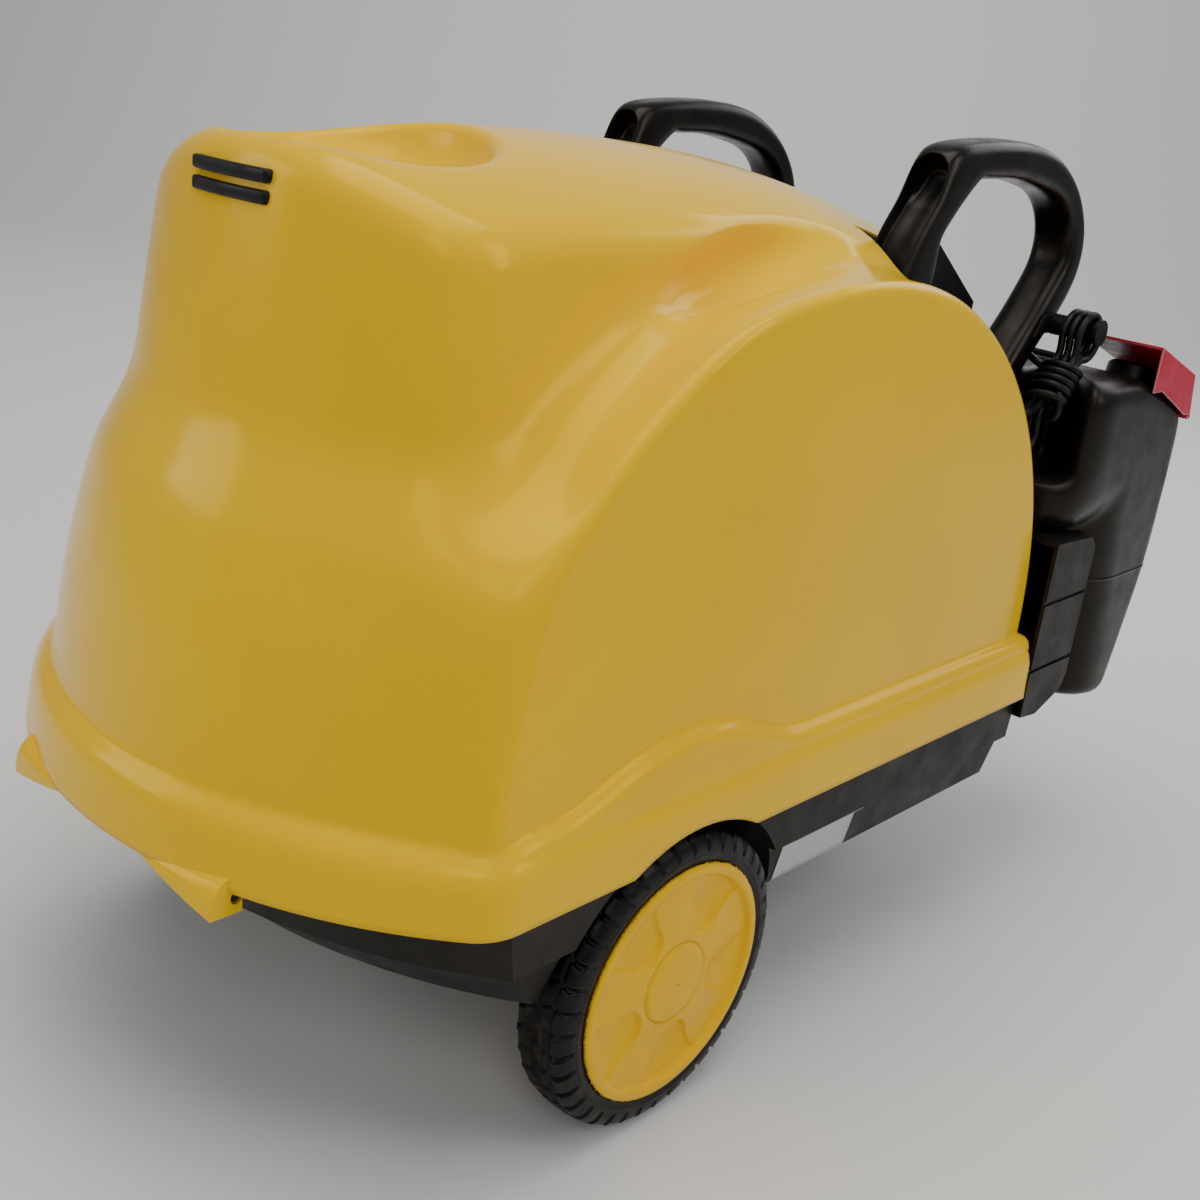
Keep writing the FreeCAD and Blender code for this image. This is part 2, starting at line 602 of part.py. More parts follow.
along_x = ((0, 1, 0), 90)
turned("motor_housing", [("9 + running_gap", 0), ("motor_radius", 0), ("motor_radius", 20), (72, 24), (72, 60),
                         ("motor_radius", 64), ("motor_radius", 90), (72, 94), (72, 136), ("motor_radius", 140),
                         ("motor_radius", 166), (72, 170), (72, 206), ("motor_radius", 210), ("motor_radius", 230),
                         ("9 + running_gap", 230), ("9 + running_gap", 222), (68, 222), (68, 8),
                         ("9 + running_gap", 8)], at=(-120, "motor_y", "motor_z"), turn=along_x)
turned("motor_shaft", [(0, 2), (9, 2), (9, 20), (60, 20), (60, 210), (9, 210), (9, 300), (0, 300)],
       at=(-120, "motor_y", "motor_z"), turn=along_x)
turned("fan_wheel", [(9.02, 244), (18, 244), (18, 256), (78, 258), (78, 290), (74, 290), (74, 262), (18, 262),
                     (18, 298), (9.02, 298)], at=(-120, "motor_y", "motor_z"), turn=along_x)
turned("fan_housing", [(12, 230.2), (95, 230.2), (95, 312), (30, 312), (30, 309), (92, 309), (92, 233.2),
                       (12, 233.2)], at=(-120, "motor_y", "motor_z"), turn=along_x)
turned("fuel_pump", [(0, 312.2), (34, 312.2), (34, 320), (22, 320), (22, 350), (0, 350)],
       at=(-120, "motor_y", "motor_z"), turn=along_x)
crankcase = primitive("Cylinder", "crankcase", at=(-215, "motor_y", "motor_z"), turn=along_x, Radius=52, Height=94.8)
sump = primitive("Box", "crankcase_sump", at=(-205, "motor_y - 44", "motor_z - 62"), Length=70, Width=88, Height=60)
node("pump_crankcase", fused("pump_crankcase_form", crankcase, sump))
block = primitive("Box", "valve_block", at=(-290, "motor_y - 42", "motor_z - 40"), Length=74.8, Width=84, Height=80)
caps = [primitive("Cylinder", "valve_cap", at=(-297, f"motor_y + {y}", "motor_z"), turn=along_x, Radius=10, Height=10)
        for y in (-27, 0, 27)]
node("pump_head", fused("pump_head_form", block, *caps))
feet = [primitive("Box", "motor_foot", at=(x, "motor_y - 60", 201), Length=24, Width=120,
                  Height="motor_z - motor_radius - 198") for x in (-95, 60)]
saddle = primitive("Cylinder", "motor_saddle", at=(-130, "motor_y", "motor_z"), turn=along_x,
                   Radius="motor_radius + 0.1", Height=260)
node("motor_cradle", cut("motor_cradle_form", fused("motor_feet", *feet), saddle))

duct = [primitive("Box", "duct_run", at=(122, -345, 270), Length=62, Width=290, Height=70),
        primitive("Box", "duct_elbow", at=(95, -400, 270), Length=89, Width=62, Height=70)]
duct_cuts = [primitive("Cylinder", "duct_fan_cut", at=(100, "motor_y", "motor_z"), turn=along_x, Radius=95.1,
                       Height=120),
             primitive("Cylinder", "duct_boiler_cut", at=(0, "dish_y", 200), Radius="boiler_radius + 0.1", Height=300)]
node("air_duct", cut("air_duct_form", fused("air_duct_runs", *duct), *duct_cuts))
tank_walls = primitive("Box", "float_tank_walls", at=(-300, 140, 193), Length=116, Width=180, Height=207)
tank_room = primitive("Box", "float_tank_room", at=(-297, 143, 196), Length=110, Width=174, Height=220)
node("float_tank", cut("float_tank_form", tank_walls, tank_room))
node("suction_hose", primitive("Cylinder", "suction_run", at=(-252, "motor_y + 42.1", 300), turn=((1, 0, 0), -90),
                               Radius=9, Height=67.8))


def tube(edges, radius):
    """A round tube along edges that run into one another."""
    path = Part.Wire(edges)
    first = edges[0]
    start = first.valueAt(first.FirstParameter)
    section = Part.Wire(Part.makeCircle(radius, start, first.tangentAt(first.FirstParameter)))
    return path.makePipeShell([section], True, False)


def rounded_route(points, radius=None):
    """Straight runs joined by arcs, each as large as its two runs allow unless one radius is given."""
    points = [Vector(*point) for point in points]
    edges, radii, start = [], [], points[0]
    for before, corner, after in zip(points, points[1:], points[2:]):
        back, ahead = before - corner, after - corner
        half_turn = (math.pi - back.getAngle(ahead)) / 2
        reach = radius * math.tan(half_turn) if radius else 0.45 * min(back.Length, ahead.Length)
        into, out = corner + back.normalize() * reach, corner + ahead.normalize() * reach
        arc_edge, arc_radius = bend(into, corner, out)
        edges += [Part.makeLine(start, into), arc_edge]
        radii.append(round(arc_radius, 1))
        start = out
    edges.append(Part.makeLine(start, points[-1]))
    return edges, radii


PRESSURE_ROUTE = [(-252, 30, 345.1), (-252, 30, 430), (-252, -400, 430), (-110.3, -400, 430)]
shaped("pressure_pipe", tube(rounded_route(PRESSURE_ROUTE, 30)[0], 7))

# Rear wall: a shallow moulded box that closes the back and carries the tanks and couplings.

WALL = [("wall_front", 290), ("wall_front", 266), (385, "wall_bottom - 2"), (440, "wall_bottom + 18"),
        ("wall_back", "wall_bottom + 36"), ("wall_back", "wall_top - 14"), ("wall_back - 14", "wall_top"),
        ("wall_front", "wall_top + 4")]


def rear_wall():
    """Moulded box, open to the front, with two grooves round its sides and back."""
    edge = [Vector(-mm("half_width"), value(y), value(z)) for y, z in WALL]
    across = Vector(2 * mm("half_width"), 0, 0)
    form = Part.Face(Part.makePolygon(edge + edge[:1])).extrude(across)
    room = form.common(form.translated(Vector(-5, -5, 0))).common(form.translated(Vector(5, -5, 0)))
    room = room.common(form.translated(Vector(0, -5, -5))).common(form.translated(Vector(0, -5, 5)))
    form = form.cut(room)
    half, front, back = mm("half_width"), mm("wall_front"), mm("wall_back")
    for z in (322, 405):
        ring = Part.makeBox(2 * half + 4, back - front + 4, 5, Vector(-half - 2, front - 2, z))
        ring = ring.cut(Part.makeBox(2 * half - 5, back - front - 0.5, 5, Vector(2.5 - half, front - 2, z)))
        form = form.cut(ring)
    for x in (-30, 30):
        form = form.cut(Part.makeCylinder(12.1, 40, Vector(x, back - 20, 340), Vector(0, 1, 0)))
    return form


shaped("rear_wall", rear_wall())
for label, x, bore, thread in (("pressure_outlet", 30, 5, 11), ("water_inlet", -30, 7, 13.2)):
    turned(label, [(bore, -26), (12, -26), (12, 0), (18, 0), (18, 8), (thread, 8), (thread, 26), (bore, 26)],
           at=(x, "wall_back", 340), turn=((1, 0, 0), -90))

# Tanks: fuel on the right and detergent on the left, hung over the rear wall.

TANK = [(362, 484), (452, 480), (470, 405), (486, 248), (500, 240), (590, 240), (612, 262), (636, 400), (643, 500),
        (640, 590), (618, 620), (505, 655), (400, 655), (372, 640), (362, 600)]


def tank_form(inset):
    """Outer form of the right tank, or its hollow when inset by the wall."""
    corners = [Vector(mm("tank_inner_x") + inset, y, z) for y, z in TANK]
    side = Part.Face(Part.makePolygon(corners + corners[:1]))
    if inset:
        side = side.makeOffset2D(-inset, 2)
    form = side.extrude(Vector(mm("tank_outer_x") - mm("tank_inner_x") - 2 * inset, 0, 0))
    radius, outer = 78 - inset, mm("tank_outer_x") - inset
    centre = Vector(outer - radius, 362 + 78, 200)
    column = Part.makeCylinder(radius, 500, centre)
    corner = Part.makeBox(radius + 50, 78 + 50, 500, Vector(centre.x, 362 - 50, 200))
    slack = inset / math.sin(math.radians(49))
    plan = [Vector(x, y, 540 - inset) for x, y in ((232 - inset, 340), (340, 340), (340, 358 + slack),
                                                   (232 - inset, 482.5 + slack + inset * 1.15))]
    recess = Part.Face(Part.makePolygon(plan + plan[:1])).extrude(Vector(0, 0, 200))
    return form.cut(corner.cut(column)).cut(recess)


def filler(radius, low, high, x=285):
    """A disc round the filler's axis, which stands square on the sloping roof."""
    tilt = math.radians(mm("tank_tilt"))
    axis = Vector(0, math.sin(tilt), math.cos(tilt))
    foot = Vector(x, 561.5, 637.5)
    return Part.makeCylinder(radius, high - low, foot + axis * low, axis)


def tank():
    neck = filler(26, -3, 8)
    return tank_form(0).cut(tank_form(mm("tank_wall"))).fuse(neck).cut(filler(21, -14, 12))


right_tank, left_tank = mirrored_pair(tank())
shaped("fuel_tank", right_tank.removeSplitter())
shaped("detergent_tank", left_tank.removeSplitter())
CAP_SECTION = [(0, -4), (20.4, -4), (20.4, 8.4), (26.4, 8.4), (26.4, 1), (31, 1), (31, 18), (28, 21), (0, 21)]
for label, x in (("fuel_cap", 285), ("detergent_cap", -285)):
    turned(label, CAP_SECTION, at=(x, 561.5, 637.5), turn=((1, 0, 0), -mm("tank_tilt")))


def tank_flap():
    """Red cover over the fuel filler: a sloping roof, a rear lip and an outer cheek in 3 mm sheet."""
    def sheet_of(corners, x, length):
        points = [Vector(x, y, z) for y, z in corners]
        return Part.Face(Part.makePolygon(points + points[:1])).extrude(Vector(length, 0, 0))
    skin = sheet_of([(512, 694), (628, 654), (641, 604), (638, 603.3), (625.5, 651.5), (512, 690.8)], 235, 103)
    cheek = sheet_of([(512, 692), (628, 652), (640, 604), (624, 604), (537, 640), (512, 640)], 335.2, 2.8)
    knuckle = Part.makeCylinder(4, 103, Vector(235, 639, 601), Vector(1, 0, 0))
    hole = Part.makeCylinder(2 + mm("running_gap"), 103, Vector(235, 639, 601), Vector(1, 0, 0))
    return skin.fuse(cheek).fuse(knuckle).cut(hole)


shaped("tank_flap", tank_flap())

# Console: the sloping control desk between the handles.

CONSOLE = [("console_front", 600), (352, 600), (352, 722), (250, 790), (238, 792), ("console_front", 778)]
shell = padded_body("console_walls", CONSOLE, "2 * console_half_width")
room = padded_body("console_room", [("console_front + 3", 590), (349, 590), (349, 720), (250, 786), (238, 788),
                                    ("console_front + 3", 775)], "2 * console_half_width - 6")
node("console_housing", cut("console_form", shell, room))
tilt = ((1, 0, 0), -mm("panel_tilt"))
node("control_panel", primitive("Box", "panel_plate", at=(-160, "250 + 5 * 0.832 + 0.1", "790 - 5 * 0.555 + 0.1"),
                                turn=tilt, Length=320, Width=112, Height=2))


def on_panel(x, lift=0.0, along=61.0):
    """A point above the sloping panel: along runs down the slope from its upper edge."""
    slope = math.radians(mm("panel_tilt"))
    return (x, 250 + along * math.cos(slope) + (2.1 + lift) * math.sin(slope),
            790 - along * math.sin(slope) + (2.1 + lift) * math.cos(slope))


def knob(label, x, radius, height):
    """A round skirted knob with a finger bar across its top."""
    body = turned_body(label + "_round", [(0, 0.3), (radius, 0.3), (radius, 4), (radius - 3, 6),
                                          (radius - 4, height - 6), (0, height - 6)])
    bar = primitive("Box", label + "_bar", at=(-4, 3 - radius, height - 7), Length=8, Width=2 * radius - 6, Height=7)
    node(label, place(fused(label + "_form", body, bar), on_panel(x), tilt))


knob("main_switch", -118, 24, 26)
knob("thermostat", -48, 20, 22)
knob("detergent_dial", 122, 18, 20)
turned("gauge_body", [(0, 0.1), (29, 0.1), (29, 13), (26, 13), (26, 2), (1, 2), (1, 7), (0, 7)],
       at=on_panel(40), turn=tilt)
turned("gauge_lens", [(0, 10), (25.9, 10), (25.9, 12), (0, 12)], at=on_panel(40), turn=tilt)
needle_hub = primitive("Cylinder", "needle_hub", at=(0, 0, 3), Radius=3.5, Height=2.5)
needle_hand = primitive("Box", "needle_hand", at=(-0.8, -7, 3.4), Length=1.6, Width=28, Height=1)
needle_hole = primitive("Cylinder", "needle_hole", at=(0, 0, 0), Radius=1.05, Height=10)
needle = cut("gauge_needle_form", fused("needle_solid", needle_hub, needle_hand), needle_hole)
node("gauge_needle", place(needle, on_panel(40), tilt))
lamps = [place(primitive("Cylinder", "lamp", Radius=4, Height=4), on_panel(x, 0.1, 22), tilt) for x in (-16, 80, 92)]
node("status_lamps", fused("lamp_set", *lamps))
box_walls = primitive("Box", "electric_box_walls", at=(-150, 232, 604), Length=300, Width=98, Height=86)
box_room = primitive("Box", "electric_box_room", at=(-147, 235, 600), Length=294, Width=92, Height=87)
node("electric_box", cut("electric_box_form", box_walls, box_room))

# Mains cord: it leaves the console, lies over the fuel tank, and is put away as a tied hank on a hook.

HANK_AT = (275, 422.9, 699.2)
HANK_LEAN = math.radians(40)
FOLDS_APART = 136.3


def in_hank(x, v, s):
    """A direction given across the hank's layers, across its waist and down its length."""
    cosine, sine = math.cos(HANK_LEAN), math.sin(HANK_LEAN)
    return Vector(x, v * cosine - s * sine, -v * sine - s * cosine)


def fold(x, along, degrees, over):
    """A stop on a fold's round end: where it is and which way the cord heads there."""
    angle, radius = math.radians(degrees), mm("fold_radius")
    way = -1 if over else 1
    return ((x, radius * math.sin(angle), along + way * radius * math.cos(angle)),
            (0, way * math.cos(angle), -math.sin(angle)))


def hank_stops():
    """Stops with headings from the arch, down and up the loops, then up the winding round the waist."""
    half, step, radius = mm("waist_half"), mm("layer_step"), mm("fold_radius")
    middle = HANK_AT[0]
    neck = math.sqrt((2 * radius) ** 2 - (radius + half) ** 2)
    turn = 90 + math.degrees(math.atan2(neck, radius + half))
    layers = [middle - step, middle, middle + step]
    stops = [fold(layers[0], 0, degrees, True) for degrees in (35, 0, -90, -turn)]
    for x, above in zip(layers, layers[1:]):
        stops += [((x, -half, neck), (0, 0, 1)), ((x, -half, FOLDS_APART - neck), (0, 0, 1))]
        stops += [fold(x, FOLDS_APART, degrees, False) for degrees in (-turn, -90, 0, 90, turn)]
        stops += [((x, half, FOLDS_APART - neck), (0, 0, -1)), ((above, half, neck), (0, 0, -1))]
        stops += [fold(above, 0, degrees, True) for degrees in (turn, 90, 0, -90, -turn)]
    stops += [((layers[2], -half, neck), (0, 0, 1)), ((layers[2], -half, 80), (0, 0, 1))]
    return stops + winding_stops(middle, 60, 104, 22, 9, 5)


def winding_stops(middle, first_degrees, foot, first_rise, rise, turns):
    """Stops up the winding: race-track turns about the waist, the first one climbing clear of the loops."""
    radius, flat = mm("wrap_radius"), 5.25
    quarter, lap = math.pi / 2 * radius, 2 * math.pi * radius + 4 * flat
    first = math.radians(first_degrees)
    course = [(flat + radius * math.cos(first), radius * math.sin(first), -math.sin(first), math.cos(first), 0),
              (flat, radius, -1, 0, quarter - first * radius)]
    cycle = [(-flat, radius, -1, 0, 2 * flat), (-flat - radius, 0, 0, -1, quarter), (-flat, -radius, 1, 0, quarter),
             (flat, -radius, 1, 0, 2 * flat), (flat + radius, 0, 0, 1, quarter), (flat, radius, -1, 0, quarter)]
    course += (cycle * turns) + cycle[:1]
    stops, walked = [], 0
    for x, v, heading_x, heading_v, length in course:
        walked += length
        climb = min(walked, lap) * first_rise / lap + max(walked - lap, 0) * rise / lap
        slope = 0 if not stops else (first_rise if walked < lap else rise) / lap
        stops.append(((middle + x, v, foot - climb), (heading_x, heading_v, -slope)))
    return stops


def wound(stops):
    """Edges through the stops: a line where two stops face each other, else two arcs of equal reach."""
    edges, radii = [], []
    for (here, heading), (there, leaving) in zip(stops, stops[1:]):
        start, end = Vector(*HANK_AT) + in_hank(*here), Vector(*HANK_AT) + in_hank(*there)
        start.x, end.x = here[0], there[0]
        first, last = in_hank(*heading).normalize(), in_hank(*leaving).normalize()
        across, likeness = end - start, first.dot(last)
        if across.getAngle(first) < 1e-6 and likeness > 1 - 1e-9:
            edges.append(Part.makeLine(start, end))
            continue
        if likeness > 1 - 1e-9:
            reach = across.dot(across) / (4 * across.dot(last))
        else:
            along = across.dot(first + last)
            reach = (math.sqrt(along ** 2 + 2 * (1 - likeness) * across.dot(across)) - along) / (2 * (1 - likeness))
        before, after = start + first * reach, end - last * reach
        join = (before + after) * 0.5
        for piece in ((start, before, join), (join, after, end)):
            edge, radius = bend(*piece)
            edges.append(edge)
            radii.append(round(radius, 1))
    return edges, radii


def least_gap(edges, diameter):
    """The least clear distance between places on the tube that are over 20 mm apart along it."""
    places = [point for edge in edges for point in edge.discretize(max(3, int(edge.Length / 1.2)))[:-1]]
    walked = [0.0]
    for here, there in zip(places, places[1:]):
        walked.append(walked[-1] + here.distanceToPoint(there))
    pairs = ((a, b) for a in range(len(places)) for b in range(a, len(places)) if walked[b] - walked[a] > 20)
    return min(places[a].distanceToPoint(places[b]) for a, b in pairs) - diameter


def straight_end(edges, length, at_start):
    """A straight end one diameter long, in line with the tube there."""
    edge = edges[0] if at_start else edges[-1]
    where = edge.FirstParameter if at_start else edge.LastParameter
    point, heading = edge.valueAt(where), edge.tangentAt(where)
    return Part.makeLine(point - heading * length, point) if at_start else Part.makeLine(point, point + heading * length)


cord = mm("cord_diameter")
hank_edges, hank_radii = wound(hank_stops())
hank_edges = [straight_end(hank_edges, cord, True)] + hank_edges + [straight_end(hank_edges, cord, False)]
shaped("cord_hank", tube(hank_edges, cord / 2))
hank_start, start_heading = hank_edges[0].valueAt(0), hank_edges[0].tangentAt(0)
hank_end, end_heading = hank_edges[-1].valueAt(hank_edges[-1].LastParameter), hank_edges[-1].tangentAt(0)

LEAD = [(100, 372, 700), (100, 391, 700), (98.5, 415, 689.5), (96, 437, 674.5), (99, 460, 664), (112, 480, 660.2),
        (134, 493, 659.7), (160, 498, 659.7), (186, 499.5, 659.7), (210, 497, 659.7), (231, 490, 659.7),
        (249, 480, 659.8), (261, 465.5, 665.5)]
TAIL = [(234, 409, 663.5), (216, 414.5, 670.5), (197, 418, 675.3), (178, 418, 675.3)]
lead = [Vector(*point) for point in LEAD] + [hank_start - start_heading * 18, hank_start]
tail = [hank_end, hank_end + end_heading * 12] + [Vector(*point) for point in TAIL]
lengths = [sum(edge.Length for edge in hank_edges)]
for label, route in (("cord_lead", lead), ("cord_tail", tail)):
    edges, radii = rounded_route([tuple(point) for point in route])
    lengths.append(sum(edge.Length for edge in edges))
    shaped(label, tube(edges, cord / 2))
    print(label, "radii", radii, "volume over section times length",
          round(NODES[label].Shape.Volume / (math.pi * cord ** 2 / 4 * lengths[-1]), 4))
print("hank: tightest arc", min(hank_radii), "least gap", round(least_gap(hank_edges, cord), 2),
      "lengths", [round(length) for length in lengths])
print("hank from", tuple(round(n, 2) for n in hank_start), "to", tuple(round(n, 2) for n in hank_end), end_heading)

gland = [primitive("Cylinder", "gland_flange", at=(100, 352.1, 700), turn=((1, 0, 0), -90), Radius=12, Height=4),
         primitive("Cylinder", "gland_collar", at=(100, 352.1, 700), turn=((1, 0, 0), -90), Radius=8, Height=19.9)]
node("cord_gland", fused("cord_gland_form", *gland))
turned("cord_plug", [(0, 0), (7, 0), (9, 22), (16, 28), (19.9, 34), (19.9, 50), (0, 50)], at=(178, 418, 675.3),
       turn=((0, 1, 0), -90))
hook_at = Vector(*HANK_AT) + in_hank(-HANK_AT[0], 0, 4.25 + 12 + 0.4 - mm("fold_radius"))
y, z = hook_at.y, hook_at.z
plate = padded_body("hook_plate", [(388, 692), (408, 696), (y + 8, z - 10), (y + 10, z), (y + 2, z + 11), (402, 716),
                                   (400, 712)], 4, at=(236.1, 0, 0))
peg = primitive("Cylinder", "hook_peg", at=(236, y, z), turn=along_x, Radius=12, Height=60)
flange = primitive("Cylinder", "hook_flange", at=(292, y, z), turn=along_x, Radius=15, Height=4)
node("cord_hook", fused("cord_hook_form", plate, peg, flange))

document.recompute()
for item in document.Objects:
    if {"Invalid", "Error"} & set(item.State):
        raise RuntimeError(f"{item.Name} is {item.State}")
for name, item in NODES.items():
    if item.Shape.isNull() or not item.Shape.isValid():
        raise RuntimeError(f"{name} has no valid shape")
    print(name, round(item.Shape.Volume), len(item.Shape.Faces), len(item.Shape.Solids))
os.makedirs("parts", exist_ok=True)
for name, item in NODES.items():
    item.Shape.exportStep(f"parts/{name}.step")
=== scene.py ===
import json
import math
import bmesh
import bpy
import numpy as np
from mathutils import Matrix, Vector


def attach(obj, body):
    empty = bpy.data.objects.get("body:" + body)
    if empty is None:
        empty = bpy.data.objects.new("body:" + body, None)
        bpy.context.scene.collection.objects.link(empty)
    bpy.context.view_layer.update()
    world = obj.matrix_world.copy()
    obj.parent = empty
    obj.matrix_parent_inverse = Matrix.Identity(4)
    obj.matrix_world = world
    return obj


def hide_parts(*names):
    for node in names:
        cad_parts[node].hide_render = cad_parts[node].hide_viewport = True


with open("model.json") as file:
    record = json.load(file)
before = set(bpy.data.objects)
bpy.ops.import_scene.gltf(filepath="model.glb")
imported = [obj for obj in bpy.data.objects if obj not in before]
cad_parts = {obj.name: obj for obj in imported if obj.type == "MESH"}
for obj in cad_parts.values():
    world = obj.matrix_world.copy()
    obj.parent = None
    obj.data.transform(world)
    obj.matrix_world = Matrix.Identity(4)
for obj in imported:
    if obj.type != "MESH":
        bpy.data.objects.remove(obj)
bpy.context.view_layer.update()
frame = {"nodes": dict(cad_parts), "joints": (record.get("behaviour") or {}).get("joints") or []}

# Lengths are metres in calls on the frame and in meshes. Shapes are worked out in millimetres, times MM.

MM = 0.001
PINS = {joint["name"]: [round(p / MM, 3) for p in joint["pos_m"]] for joint in frame["joints"]}
AXLE_Y, AXLE_Z = PINS["right_wheel_spin"][1:]
HINGE_Y, HINGE_Z = PINS["hood_hinge"][1:]


# Small tools

def linear(code):
    """An sRGB hex colour as linear red, green, blue and alpha."""
    parts = [int(code[i:i + 2], 16) / 255 for i in (1, 3, 5)]
    return [c / 12.92 if c <= 0.04045 else ((c + 0.055) / 1.055) ** 2.4 for c in parts] + [1]


def put(mat, kind, output=None, **values):
    """Add a shader node, or reach the main one, set or wire its sockets by name, and give one output."""
    tree = mat.node_tree
    main = kind == "BsdfPrincipled"
    node = tree.nodes["Principled BSDF"] if main else tree.nodes.new("ShaderNode" + kind)
    for name, value in values.items():
        sockets = {s.name.replace(" ", "_"): s for s in reversed(node.inputs) if s.enabled}
        if name not in sockets:
            setattr(node, name, value)
        elif isinstance(value, bpy.types.NodeSocket):
            tree.links.new(value, sockets[name])
        else:
            sockets[name].default_value = value
    return node.outputs[output] if output else next(socket for socket in node.outputs if socket.enabled)


def new_material(name):
    """An empty material, and the place in the piece that its patterns follow."""
    mat = bpy.data.materials.new(name)
    mat.use_nodes = True
    return mat, put(mat, "TexCoord", "Object")


def shown(name, data, *mats):
    """Put mesh or curve data into the scene as a piece with its materials."""
    obj = bpy.data.objects.new(name, data)
    bpy.context.scene.collection.objects.link(obj)
    for mat in mats:
        data.materials.append(mat)
    return obj


def mesh_object(name, vertices, faces, *mats):
    """A smooth-shaded piece from vertices and faces."""
    mesh = bpy.data.meshes.new(name)
    mesh.from_pydata([tuple(v) for v in vertices], [], [tuple(f) for f in faces])
    mesh.polygons.foreach_set("use_smooth", [True] * len(mesh.polygons))
    mesh.update()
    return shown(name, mesh, *mats)


def from_bmesh(name, bm, mat, smooth=True, keep_sharp=40):
    """A piece from bmesh data, smooth except across edges sharper than an angle in degrees."""
    bmesh.ops.recalc_face_normals(bm, faces=bm.faces)
    for face in bm.faces:
        face.smooth = smooth
    for edge in bm.edges:
        if len(edge.link_faces) == 2 and edge.calc_face_angle(0) > math.radians(keep_sharp):
            edge.smooth = False
    mesh = bpy.data.meshes.new(name)
    bm.to_mesh(mesh)
    bm.free()
    return shown(name, mesh, mat)


def reworked(obj, work):
    """Run a bmesh step over a piece's mesh."""
    bm = bmesh.new()
    bm.from_mesh(obj.data)
    work(bm)
    bm.to_mesh(obj.data)
    bm.free()
    return obj


def fitted(piece, body, slot, *nodes):
    """Fix a piece to its body, in place of CAD nodes. The slot, the record's finish, is not used."""
    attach(piece, body)
    if nodes:
        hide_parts(*nodes)


def paint(mat, *nodes):
    """A carried-over CAD node takes a material."""
    for name in nodes:
        obj = frame["nodes"][name]
        obj.data.materials.clear()
        obj.data.materials.append(mat)


# Camera at the photograph's angle, floor and soft studio light

CAMERA_AT = (1.012395, -1.206745, 0.930615)
CAMERA_TURN = (70.1256, -6.3684, 43.1004)
SENSOR_MM, LENS_MM = 36, 44.7195

camera = bpy.data.objects.new("camera", bpy.data.cameras.new("camera"))
bpy.context.scene.collection.objects.link(camera)
camera.data.sensor_width = SENSOR_MM
camera.data.lens = LENS_MM
camera.data.clip_start = 0.05
camera.location = CAMERA_AT
camera.rotation_euler = [math.radians(degrees) for degrees in CAMERA_TURN]
bpy.context.scene.camera = camera


def lamp(name, at, aim, size, power):
    """A soft rectangular lamp of a width and height in metres and a power in watts."""
    data = bpy.data.lights.new(name, "AREA")
    data.shape = "RECTANGLE"
    data.size, data.size_y = size
    data.energy = power
    obj = bpy.data.objects.new(name, data)
    bpy.context.scene.collection.objects.link(obj)
    obj.location = at
    obj.rotation_euler = (Vector(aim) - Vector(at)).to_track_quat("-Z", "Y").to_euler()


lamp("overhead", (0.2, -0.5, 3.4), (0, 0, 0.4), (2.6, 2.6), 68)
lamp("front_left", (-2.4, -3.0, 2.0), (0, -0.1, 0.5), (1.5, 2.0), 29)
lamp("right_strip", (2.9, 0.9, 2.3), (0.1, 0.0, 0.4), (0.8, 2.2), 24)
lamp("front_right", (2.6, -2.6, 3.0), (0.1, -0.1, 0.4), (1.3, 1.3), 21)
lamp("rear", (0.4, 3.2, 2.4), (0, 0.2, 0.5), (2.4, 1.6), 23)
lamp("backdrop", (-1.2, 2.6, 4.6), (-5.4, 6.2, 1.2), (3, 3), 150)
world = bpy.data.worlds.new("studio")
world.use_nodes = True
world.node_tree.nodes["Background"].inputs[0].default_value = linear("#E4E8EE")
world.node_tree.nodes["Background"].inputs[1].default_value = 0.27
bpy.context.scene.world = world


def studio_floor():
    """A pale painted floor that sweeps up into a wall behind, turned to face the camera."""
    half, front, foot, bend, top = 14, -8, 5, 3, 12
    mat, _ = new_material("studio_floor")
    put(mat, "BsdfPrincipled", Base_Color=linear("#E9E8E5"), Roughness=0.75)
    rise = np.radians(np.linspace(0, 90, 13))
    profile = [(front, 0), *zip(foot + bend * np.sin(rise), bend - bend * np.cos(rise)), (foot + bend, top)]
    edge = [(x, y, z) for y, z in profile for x in (-half, half)]
    faces = [(k, k + 1, k + 3, k + 2) for k in range(0, len(edge) - 2, 2)]
    floor = mesh_object("floor_sweep", edge, faces, mat)
    floor.rotation_euler = (0, 0, math.radians(40.8))
    return floor


studio_floor()


# Materials: each is named for what the real one is and how it was made. A noise's Scale is one over the real
# size of its largest cells. Grain finer than about 0.5 mm is drawn at 0.7 to 2.4 mm, or it wouldn't show.

